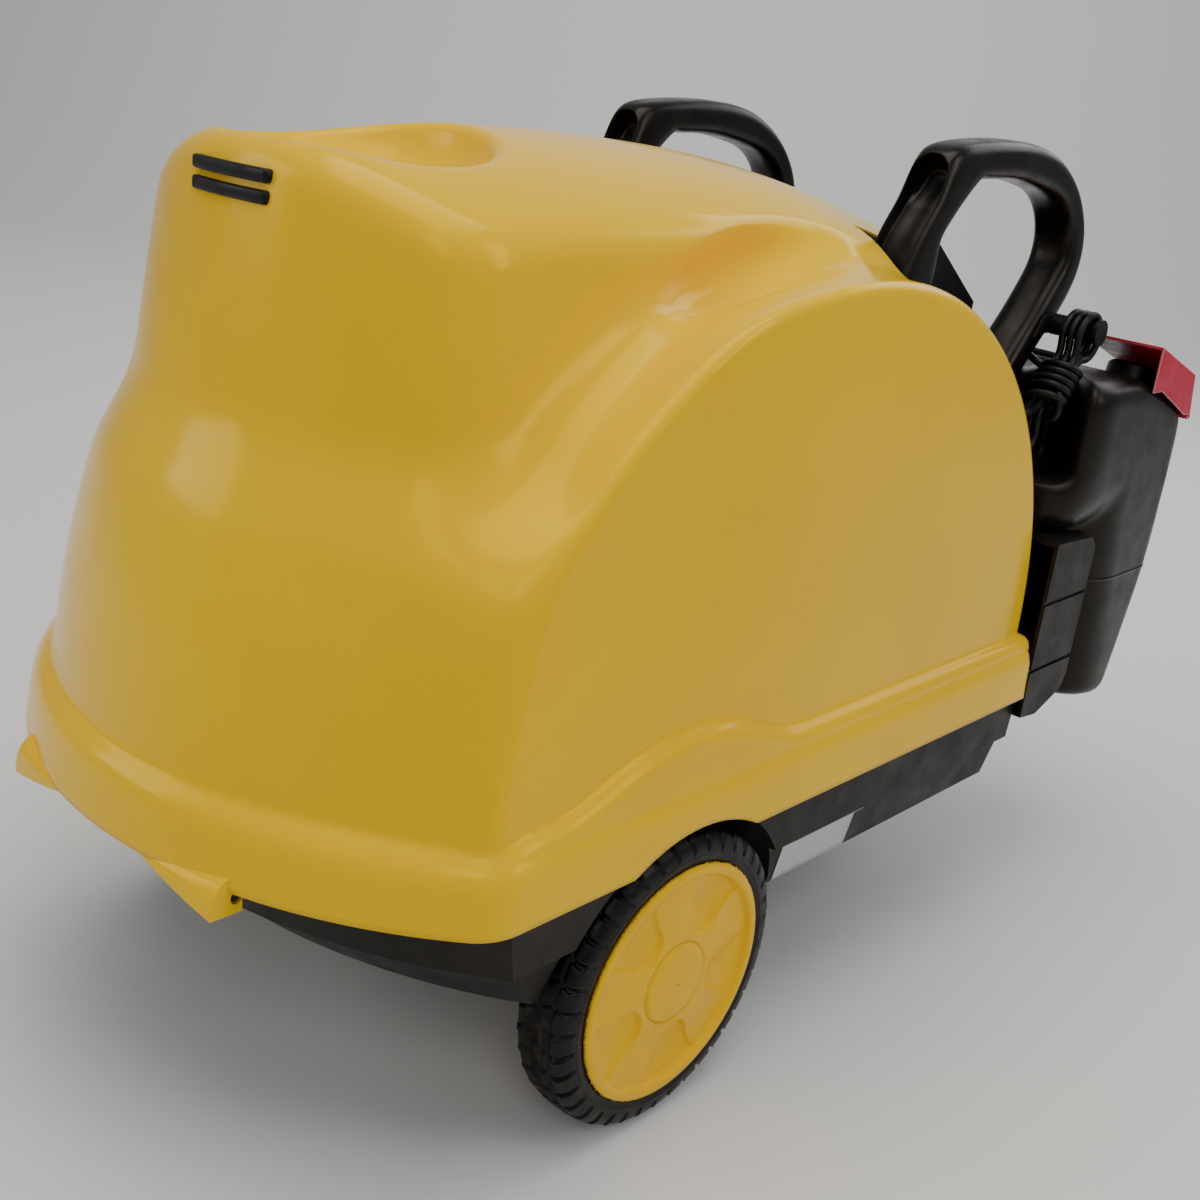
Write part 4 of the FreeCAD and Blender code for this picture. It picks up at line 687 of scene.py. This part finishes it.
def hood_surface():
    rings = solve_hood(*(((400, 150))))
    rows, count = rings.shape[:2]
    bm = bmesh.new()
    verts = [bm.verts.new(p) for p in rings.reshape(-1, 3) * MM]
    for row in range(rows - 1):
        for column in range(count):
            beside = (column + 1) % count
            bm.faces.new([verts[k] for k in (row * count + column, row * count + beside,
                                             (row + 1) * count + beside, (row + 1) * count + column)])
    bmesh.ops.remove_doubles(bm, verts=bm.verts, dist=0.4 * MM)
    bmesh.ops.recalc_face_normals(bm, faces=bm.faces)
    cuts = [((0, 1, 0), at) for at in (HOOD_TAIL, NOTCH_FRONT, DESK_FRONT)]
    cuts += [((1, 0, 0), at) for at in (NOTCH_INNER, -NOTCH_INNER, NOTCH_OUTER, -NOTCH_OUTER)]
    for normal, at in cuts:
        near = [f for f in bm.faces if at == HOOD_TAIL or f.calc_center_median().y > (NOTCH_FRONT - 18) * MM
                and abs(f.calc_center_median().x) < (NOTCH_OUTER + 8) * MM]
        near = list({part for face in near for part in (face, *face.edges, *face.verts)})
        bmesh.ops.bisect_plane(bm, geom=near, dist=1e-5, plane_co=Vector(normal) * at * MM, plane_no=normal)
    doomed = [face for face in bm.faces if cut_away(face.calc_center_median())]
    bmesh.ops.delete(bm, geom=doomed, context="FACES")
    for vert in bm.verts:
        on_edge = any(edge.is_boundary for edge in vert.link_edges)
        if on_edge and vert.co.z > 0.7 and from_flue(vert.co) < FLUE_HOLE + 5:
            out = Vector((vert.co.x, vert.co.y - FLUE_Y * MM, 0)).normalized() * FLUE_HOLE * MM
            vert.co.x, vert.co.y = out.x, out.y + FLUE_Y * MM
    obj = from_bmesh("hood_surface", bm, YELLOW, True, 180)
    wall = obj.modifiers.new("wall", "SOLIDIFY")
    wall.thickness = HOOD_WALL * MM
    wall.offset = -1
    wall.use_even_offset = False
    return obj


def hinge_lug(side):
    """Moulded hinge lug: an arched flat face with a pin hole, tapering inwards into the skirt."""
    face_x, taper, bow_radius, bow, deep_x = 156, 104, 464, -643, 136
    bm, rings = bmesh.new(), []
    for t in np.linspace(0, 1, 14):
        x = face_x - taper * t
        skirt = bow + bow_radius - math.sqrt(bow_radius ** 2 - x ** 2)
        front, low, top = skirt - 15 * (1 - t) ** 1.2 + 3 * t, 269.5 + 23 * t, 305 - 9 * t
        ring = [(skirt + 15, low)]
        for angle in np.linspace(0, math.pi / 2, 12):
            across, up = math.cos(angle) ** 0.72, math.sin(angle) ** 0.8
            ring.append((skirt + 15 - (skirt + 15 - front) * across, low + (top - low) * up))
        rings.append([bm.verts.new((side * x * MM, y * MM, z * MM)) for y, z in ring])
    for low, high in zip(rings, rings[1:]):
        for k in range(len(low)):
            bm.faces.new((low[k], low[(k + 1) % len(low)], high[(k + 1) % len(low)], high[k]))
    bm.faces.new(rings[-1])
    hole = [bm.verts.new((side * face_x * MM, (HINGE_Y + 5.2 * math.cos(a)) * MM,
                          (HINGE_Z + 6.2 * math.sin(a)) * MM)) for a in np.linspace(0, 2 * math.pi, 21)[:-1]]
    deep = [bm.verts.new((side * deep_x * MM, v.co.y, v.co.z)) for v in hole]
    rim = [bm.edges.new((hole[k], hole[(k + 1) % 20])) for k in range(20)]
    for k in range(20):
        bm.faces.new((hole[k], hole[(k + 1) % 20], deep[(k + 1) % 20], deep[k]))
    bm.faces.new(deep)
    edge = [bm.edges.get((rings[0][k], rings[0][(k + 1) % 13])) for k in range(13)]
    bmesh.ops.triangle_fill(bm, edges=edge + rim, use_beauty=True, use_dissolve=False)
    obj = from_bmesh("hinge_lug_" + ("right" if side > 0 else "left"), bm, YELLOW, True, 50)
    edges = obj.modifiers.new("rounded_edges", "BEVEL")
    edges.width = 2.2 * MM
    edges.segments = 3
    edges.limit_method = "ANGLE"
    edges.angle_limit = math.radians(50)
    edges.harden_normals = True
    return obj


fitted(hood_surface(), "hood", "hood_plastic", "hood_shell")
fitted(hinge_lug(1), "hood", "hood_plastic")
fitted(hinge_lug(-1), "hood", "hood_plastic")


# Wheels: a yellow centre with five sunken teardrop pockets round a domed cap, in a tyre with cut shoulders

WHEEL_FACE, CAP_RADIUS, POCKETS, FIRST_POCKET = 331, 38, 5, math.radians(133)
TYRE_MIDDLE, TYRE_HALF, TYRE_RADIUS = 299, 31, 150


def grid_mesh(name, points, *mats, closed_rows=False):
    """A mesh over a grid of points in mm that closes on itself across each row."""
    rows, count = points.shape[:2]
    faces = []
    for row in range(rows if closed_rows else rows - 1):
        here, there = row * count, (row + 1) % rows * count
        for column in range(count):
            after = (column + 1) % count
            faces.append((here + column, here + after, there + after, there + column))
    obj = mesh_object(name, points.reshape(-1, 3) * MM, faces, *mats)
    return reworked(obj, lambda bm: bmesh.ops.recalc_face_normals(bm, faces=bm.faces))


def on_wheel(side, x, radius, angle):
    """Places at a distance from the machine's middle, round a main wheel's axle."""
    return np.stack([side * x, AXLE_Y + radius * np.cos(angle), AXLE_Z + radius * np.sin(angle)], -1)


def pocket_depth(r, angle):
    """How far the face sinks at a radius and an angle from one pocket's middle line."""
    along, aside = r * np.cos(angle), r * np.sin(angle)
    wide = 23 + np.clip(along - 70, 0, 60) * 0.42 + 3 * fade(along, 84, 108) - np.abs(aside)
    inner = np.where(along < 70, 23 - np.hypot(along - 70, aside), wide * 0.93)
    inside = np.minimum(np.where(along > 20, inner, -5), (106.5 - r) * 1.2)
    wall = 1 - (1 - np.clip(inside / 5.5, 0, 1)) ** 2
    return (5.6 - 3 * fade(r, 62, 104)) * wall + 2.2 * fade(inside, 3, 24)


def wheel_centre(side, name, count=720):
    angle = np.linspace(0, 2 * math.pi, count, endpoint=False)
    radius = np.concatenate([np.linspace(1, CAP_RADIUS, 14), [39.2, 40, 40.8, 42], np.linspace(44, 106, 72),
                             [107, 108, 109, 110.5, 112, 114, 116, 117.4, 118.4]])
    r, a = np.meshgrid(radius, angle, indexing="ij")
    face = WHEEL_FACE - 3.4 * fade(r, 44, 92) + 5.6 * fade(r, 104.5, 109.5) - 1.5 * fade(r, 114, 118)
    cap = WHEEL_FACE + 0.4 + 3.4 * np.sqrt(np.clip(1 - (r / (CAP_RADIUS + 3)) ** 2, 0, 1))
    x = np.where(r < CAP_RADIUS + 1.5, cap, face) - 2.2 * np.exp(-((r - CAP_RADIUS - 2) / 0.9) ** 2)
    for pocket in range(POCKETS):
        x -= pocket_depth(r, a - FIRST_POCKET - 2 * math.pi / POCKETS * pocket)
    # The paint's ragged edge on the tyre
    r[-1] += 0.7 * np.abs(np.sin(angle * 37 + 2 * np.sin(angle * 11)) + np.sin(angle * 83))
    x[-1] = 329.8
    back = np.array([(329, 117), (300, 117), (278, 117), (276, 112), (279, 104), (288, 90), (290, 60),
                     (284, 34), (278, 30), (278, 17.5)])
    rear = on_wheel(side, back[:, :1] + 0 * a[:1], back[:, 1:] + 0 * a[:1], np.repeat(a[:1], len(back), 0))
    return grid_mesh(name, np.concatenate([on_wheel(side, x, r, a), rear]), RIM)


def tyre(side, name, pitches=40, steps=18, rings=99):
    """A tyre with curved cuts in its shoulders, half a pitch apart, and a notched band between grooves."""
    angle = np.linspace(0, 2 * math.pi, pitches * steps, endpoint=False)
    shape = np.array([(273, 116.5), (269.6, 119), (268.3, 126), (268.6, 134), (271.5, 141.5), (277, 146.8),
                      (285, 149.2), (299, 150), (313, 149.2), (321, 146.8), (326.5, 141.5), (329.4, 134),
                      (329.9, 126), (328.4, 119), (325, 116.5)])
    corners_at = np.arange(len(shape))
    at = np.linspace(0, len(shape) - 1, rings)
    x = table(list(zip(corners_at, shape[:, 0])))(at)
    r = np.minimum(table(list(zip(corners_at, shape[:, 1])))(at), TYRE_RADIUS)
    across = (x - TYRE_MIDDLE) / TYRE_HALF
    u, a = np.meshgrid(across, angle, indexing="ij")
    edge, pitch = np.abs(u), a * pitches / (2 * math.pi)
    phase = (pitch + 2.6 * (edge - 0.76) ** 2 + np.where(u > 0, 0.5, 0)) % 1
    cut = fade(-np.abs(phase - 0.5), -0.15, -0.06)
    tread = fade(r, 129, 137)[:, None]
    shoulder = fade(edge, 0.5, 0.56)
    notch = fade(0.5 - np.abs((pitch + 0.6 * u) % 1 - 0.5), 0.12, 0.05)
    notch *= fade(edge, 0.44, 0.38) * fade(edge, 0.1, 0.16)
    grooves = np.exp(-((edge - 0.5) / 0.045) ** 2) + 0.7 * np.exp(-((edge - 0.08) / 0.04) ** 2)
    lip = np.exp(-((phase - 0.66) / 0.035) ** 2) * fade(edge, 0.62, 0.76)
    depth = tread * (5 * cut * shoulder + 2.4 * notch + 3.2 * grooves) - 1.3 * lip * tread
    rib = 0.5 * np.exp(-((r[:, None] - 127) / 0.9) ** 2)
    obj = grid_mesh(name, on_wheel(side, x[:, None] + rib * np.sign(u), r[:, None] - depth, a), TYRE, WORN)
    worn = np.abs((across[:-1] + across[1:]) / 2) < 0.52
    obj.data.polygons.foreach_set("material_index", np.repeat(worn, len(angle)).astype(np.int32))
    return obj


for side, name in ((1, "right"), (-1, "left")):
    centre = wheel_centre(side, name + "_painted_wheel_centre")
    fitted(centre, name + "_wheel", "rim_plastic", name + "_rim", name + "_hub_cap")
    fitted(tyre(side, name + "_treaded_tyre"), name + "_wheel", "tyre_rubber", name + "_tyre")


# Handles: blow-moulded loops with a fat rounded section and a spoon-shaped channel up the front leg

HANDLE_X, HANDLE_HALF = 207, 27
MOUTH_RIM, MOUTH_WAY, MOUTH_HALF = (152, 881), (0.52, 0.854), 21.5
# Pairs of (y, z) on the loop's outer and inner edge, up the front leg, over the grip and down to the foot
HANDLE_LINE = [((22, 562), (62, 598)), ((28, 605), (80, 615)), ((46, 670), (118, 665)),
               ((72, 738), (152, 722)), ((90, 776), (161, 765)), ((106, 806), (160, 796)),
               ((128, 836), (168, 812)), ((139, 860), (190, 834)), ((153, 883), (219, 858)),
               ((185, 894.5), (234, 860.5)), ((245, 900), (262, 861)), ((300, 901), (300, 860)),
               ((355, 896), (340, 855)), ((402, 880), (382, 847)), ((443, 852), (415, 831)),
               ((471, 817), (434, 808)), ((481, 783), (438, 783)), ((475, 750), (430, 762)),
               ((456, 720), (415, 742)), ((430, 692), (392, 714)), ((400, 662), (366, 686)),
               ((372, 632), (340, 656)), ((345, 598), (312, 622)), ((332, 562), (296, 598)),
               ((250, 560.5), (220, 596)), ((120, 560.5), (130, 596))]
MOUTH_FIRST, MOUTH_LAST = 2, 9.4


def carrying_handle(side):
    """A closed loop along HANDLE_LINE, with a spoon-shaped mouth sunk in the front leg's outer face."""
    count = len(HANDLE_LINE)
    line = np.array(HANDLE_LINE, float).reshape(count, 4)
    looped = np.concatenate([line[-4:], line, line[:5]])
    places = np.concatenate([np.linspace(0, 4, 60), np.linspace(4, 9.5, 190), np.linspace(9.5, count, 220)])
    places = np.unique(places)[:-1]
    outer_y, outer_z, inner_y, inner_z = (table(list(zip(range(-4, count + 5), looped[:, k])))(places)
                                          for k in range(4))
    outer, inner = np.stack([outer_y, outer_z], -1), np.stack([inner_y, inner_z], -1)
    turn = np.radians(np.concatenate([np.linspace(-90, 90, 90), np.linspace(90, 270, 42)[1:-1]]))
    out = np.sign(np.cos(turn)) * np.abs(np.cos(turn)) ** 0.62
    wide = HANDLE_HALF * np.sign(np.sin(turn)) * np.abs(np.sin(turn)) ** 0.62
    middle, half = (outer + inner) / 2, (outer - inner) / 2
    points = middle[:, None] + half[:, None] * out[None, :, None]
    inward = -half / np.linalg.norm(half, axis=1)[:, None]
    beyond = (points - MOUTH_RIM) @ np.array(MOUTH_WAY)
    aside = np.hypot(np.maximum(beyond + 20, 0), wide[None, :])
    room = np.where(out[None, :] > 0.1, MOUTH_HALF - aside, -1)
    room[(places < MOUTH_FIRST) | (places > MOUTH_LAST)] = -1
    spoon = 17 * np.clip(room / 4, 0, 1) ** 0.7 * (0.75 + 0.25 * np.sqrt(np.clip(room / 19, 0, 1)))
    mouth = 12 * fade(beyond, -52, -14) * fade(room, 1, 9)
    points = points + inward[:, None] * (spoon + mouth)[..., None]
    x = side * (HANDLE_X + np.broadcast_to(wide, points.shape[:2]))
    name = ("right" if side > 0 else "left") + "_carrying_handle"
    return grid_mesh(name, np.stack([x, points[..., 0], points[..., 1]], -1), GRIP, closed_rows=True)


fitted(carrying_handle(1), "chassis", "handle_plastic", "right_handle")
fitted(carrying_handle(-1), "chassis", "handle_plastic", "left_handle")


# Tanks: blown bodies with wide soft shoulders, a bulge that overhangs the rear wall and a parting line

TANK_REAR = table([(230, 590), (262, 600), (330, 619), (400, 636), (500, 643), (590, 640), (660, 622)])
TANK_X, TANK_Y, TANK_LOW, TANK_HIGH, TANK_SEAM = 200, 545, 300, 590, 408


def tank_field(x, y, z):
    """Below nought inside the right tank, in mm, with a recess for the cord at its front corner."""
    above_wall = meet(362 - y, 470 - z, 34)
    form = join(above_wall, 452 + 0.2 * (480 - z) - y, 14)
    form = meet(meet(form, x - 335, 70), y - TANK_REAR(z), 30)
    form = meet(form, 240 - z, 20)
    form = meet(form, z - 655 + 0.31 * np.maximum(y - 505, 0), 26)
    form = meet(form, 64 - x, 18)
    recess = meet(meet(232 - x, (y - 358 - (340 - x) * 1.153) * 0.655, 20), 540 - z, 20)
    parting_ridge = 0.8 * np.exp(-((z - TANK_SEAM) / 1.2) ** 2)
    return meet(form, -recess, 12) - parting_ridge


def blown_tank(side, name, count=220):
    turn = np.linspace(0, 2 * math.pi, count, endpoint=False)
    flat = np.stack([np.cos(turn), np.sin(turn), 0 * turn], 1)
    stops = [(TANK_LOW, tip) for tip in np.linspace(-math.pi / 2, 0, 40)[:-1]]
    for start, end, rows in ((TANK_LOW, 400, 20), (402, 414, 16), (417, TANK_HIGH, 60)):
        stops += [(z, 0) for z in np.linspace(start, end, rows)]
    stops += [(TANK_HIGH, tip) for tip in np.linspace(0, math.pi / 2, 50)[1:]]
    origin = np.concatenate([np.tile([TANK_X, TANK_Y, z], (count, 1)) for z, _ in stops])
    ray = np.concatenate([flat * math.cos(tip) + [0, 0, math.sin(tip)] for _, tip in stops])
    places = origin + ray * first_inside(origin, ray, tank_field, 320.0)[:, None]
    obj = grid_mesh(name, places.reshape(len(stops), count, 3) * [side, 1, 1], TANK)
    return reworked(obj, lambda bm: bmesh.ops.remove_doubles(bm, verts=bm.verts, dist=0.2 * MM))


for side, name in ((1, "fuel"), (-1, "detergent")):
    fitted(blown_tank(side, f"blown_{name}_tank"), "chassis", "tank_plastic", f"{name}_tank")


# Flap: the CAD sheet, finely meshed, with the soft edges of a moulding

def moulded_flap():
    obj = shown("moulded_flap", frame["nodes"]["tank_flap"].data.copy())
    fine = obj.modifiers.new("fine_mesh", "REMESH")
    fine.mode = "VOXEL"
    fine.voxel_size = 1 * MM
    smooth = obj.modifiers.new("soft_edges", "SMOOTH")
    smooth.factor = 0.5
    smooth.iterations = 6
    graph = bpy.context.evaluated_depsgraph_get()
    mesh = bpy.data.meshes.new_from_object(obj.evaluated_get(graph))
    mesh.materials.clear()
    mesh.materials.append(RED)
    mesh.polygons.foreach_set("use_smooth", [True] * len(mesh.polygons))
    obj.modifiers.clear()
    obj.data = mesh
    return obj


fitted(moulded_flap(), "filler_flap", "flap_plastic", "tank_flap")


# Two rubber bars let into the front of the crown

def rubber_bar(name, z, steps=28):
    """A bar that follows the crown's bow, with rounded ends."""
    half, end, bow, deep, tall = 50, 3, -526.6, 4.5, 5.4
    knee = half - end
    x = np.concatenate([np.linspace(-half, -knee, 5), np.linspace(1 - knee, knee - 1, 30),
                        np.linspace(knee, half, 5)])
    thick = np.sqrt(np.clip(1 - (np.clip(np.abs(x) - knee, 0, end) / (end + 0.001)) ** 2, 0.05, 1))[:, None]
    turn = np.linspace(0, 2 * math.pi, steps, endpoint=False)
    across = np.sign(np.cos(turn)) * np.abs(np.cos(turn)) ** 0.5
    up = np.sign(np.sin(turn)) * np.abs(np.sin(turn)) ** 0.5
    y = bow - 1 + 37 * (x[:, None] / 152) ** 2 - deep * thick * across
    bar = grid_mesh(name, np.stack([np.repeat(x[:, None], steps, 1), y, z + tall * thick * up], -1), SOFT)
    return reworked(bar, lambda bm: bmesh.ops.holes_fill(
        bm, edges=[edge for edge in bm.edges if edge.is_boundary], sides=0))


fitted(rubber_bar("lower_rest_bar", 806.5), "hood", "bar_rubber", "rest_bars")
fitted(rubber_bar("upper_rest_bar", 822.5), "hood", "bar_rubber", "rest_bars")


# A bare plate on the tray's right side

def blank_plate():
    """A sheet that lies on the tray wherever a level ray from the right meets it."""
    tray, places, rows, columns = frame["nodes"]["chassis_pan"], [], 10, 22
    for z in np.linspace(187, 238, rows):
        for y in np.linspace(-83, 43, columns):
            _, place, normal, _ = tray.ray_cast(Vector((0.4, y * MM, z * MM)), Vector((-1, 0, 0)))
            places.append(place + normal * 0.6 * MM)
    faces = [(k, k + 1, k + columns + 1, k + columns) for row in range(rows - 1)
             for k in range(row * columns, (row + 1) * columns - 1)]
    plate = mesh_object("bare_plate", places, faces, PLATE)
    sheet = plate.modifiers.new("sheet", "SOLIDIFY")
    sheet.thickness = 0.5 * MM
    sheet.offset = 0
    return plate


fitted(blank_plate(), "chassis", "sheet_steel")


# Printed scales of the desk: plain marks round its knobs and on the gauge's dial

PANEL_TILT, PANEL_TOP, PANEL_RISE, DIAL_ROW = math.radians(33.7), Vector((0, 250, 790)), 2.1, 61


def printed_marks(name, mat, scales):
    """Thin marks in rings on the panel, turned clockwise from its upper edge as the operator sees it."""
    bm = bmesh.new()
    down = Vector((0, math.cos(PANEL_TILT), -math.sin(PANEL_TILT)))
    lift = Vector((0, math.sin(PANEL_TILT), math.cos(PANEL_TILT)))
    for x, height, inner, outer, width, turns in scales:
        centre = PANEL_TOP + Vector((x, 0, 0)) + down * DIAL_ROW + lift * (PANEL_RISE + height)
        for degrees in turns:
            turn = math.radians(degrees)
            out = Vector((-math.sin(turn), 0, 0)) - down * math.cos(turn)
            across = out.cross(lift)
            shape = Matrix((across * width, out * (outer - inner), lift * 0.3)).transposed().to_4x4()
            middle = Matrix.Translation((centre + out * (inner + outer) / 2) * MM)
            bmesh.ops.create_cube(bm, size=MM, matrix=middle @ shape)
    return from_bmesh(name, bm, mat, False)


# Each ring: x, height above the panel, inner and outer radius, a mark's width, and the turns
SWITCH_MARKS = (-118, 0, 27, 33, 1.4, (-90, 0, 90))
HEAT_MARKS = (-48, 0, 23, 27.5, 1, range(-150, 151, 30))
DOSE_MARKS = (122, 0, 21, 25.5, 1, range(-150, 151, 30))
LONG_MARKS = (40, 2, 19.5, 24.5, 0.8, range(180, 451, 27))
SHORT_MARKS = (40, 2, 22, 24.5, 0.4, np.arange(180, 451, 5.4))
fitted(printed_marks("desk_scales", WHITE_INK, (SWITCH_MARKS, HEAT_MARKS, DOSE_MARKS)), "chassis",
       "panel_plastic")
fitted(printed_marks("gauge_scale", BLACK_INK, (LONG_MARKS, SHORT_MARKS)), "chassis", "gauge_face")


# The CAD's own pieces take their finishes

paint(TRAY, "chassis_pan", "rear_wall", "axle_blocks")
paint(CONSOLE, "console_housing", "electric_box")
# The hinge brackets take the black coat as painted shade, so that the lugs' pin holes look dark.
paint(COATED, "right_frame_plate", "left_frame_plate", "motor_cradle", "cord_hook", "hinge_brackets")
# The fuel cap's black is painted shade, standing for the shadow under the flap.
paint(KNOB, "fuel_cap", "detergent_cap", "main_switch", "thermostat", "detergent_dial", "castor_rim")
paint(ZINC, "front_axle", "castor_plate", "castor_fork", "castor_brake", "handle_bolts", "pressure_pipe",
      "motor_shaft")
paint(SHEET, "boiler_jacket", "boiler_lid", "air_duct")
paint(CAST, "motor_housing", "fan_wheel", "fan_housing", "fuel_pump", "pump_crankcase")
paint(BRASS, "pump_head", "pressure_outlet", "water_inlet")
paint(FLOAT, "float_tank")
paint(SOFT, "suction_hose")
paint(CASTOR, "castor_tyre")
paint(PANEL, "control_panel")
paint(ENAMEL, "gauge_body")
paint(NEEDLE, "gauge_needle")
paint(GLASS, "gauge_lens")
paint(AMBER, "status_lamps")
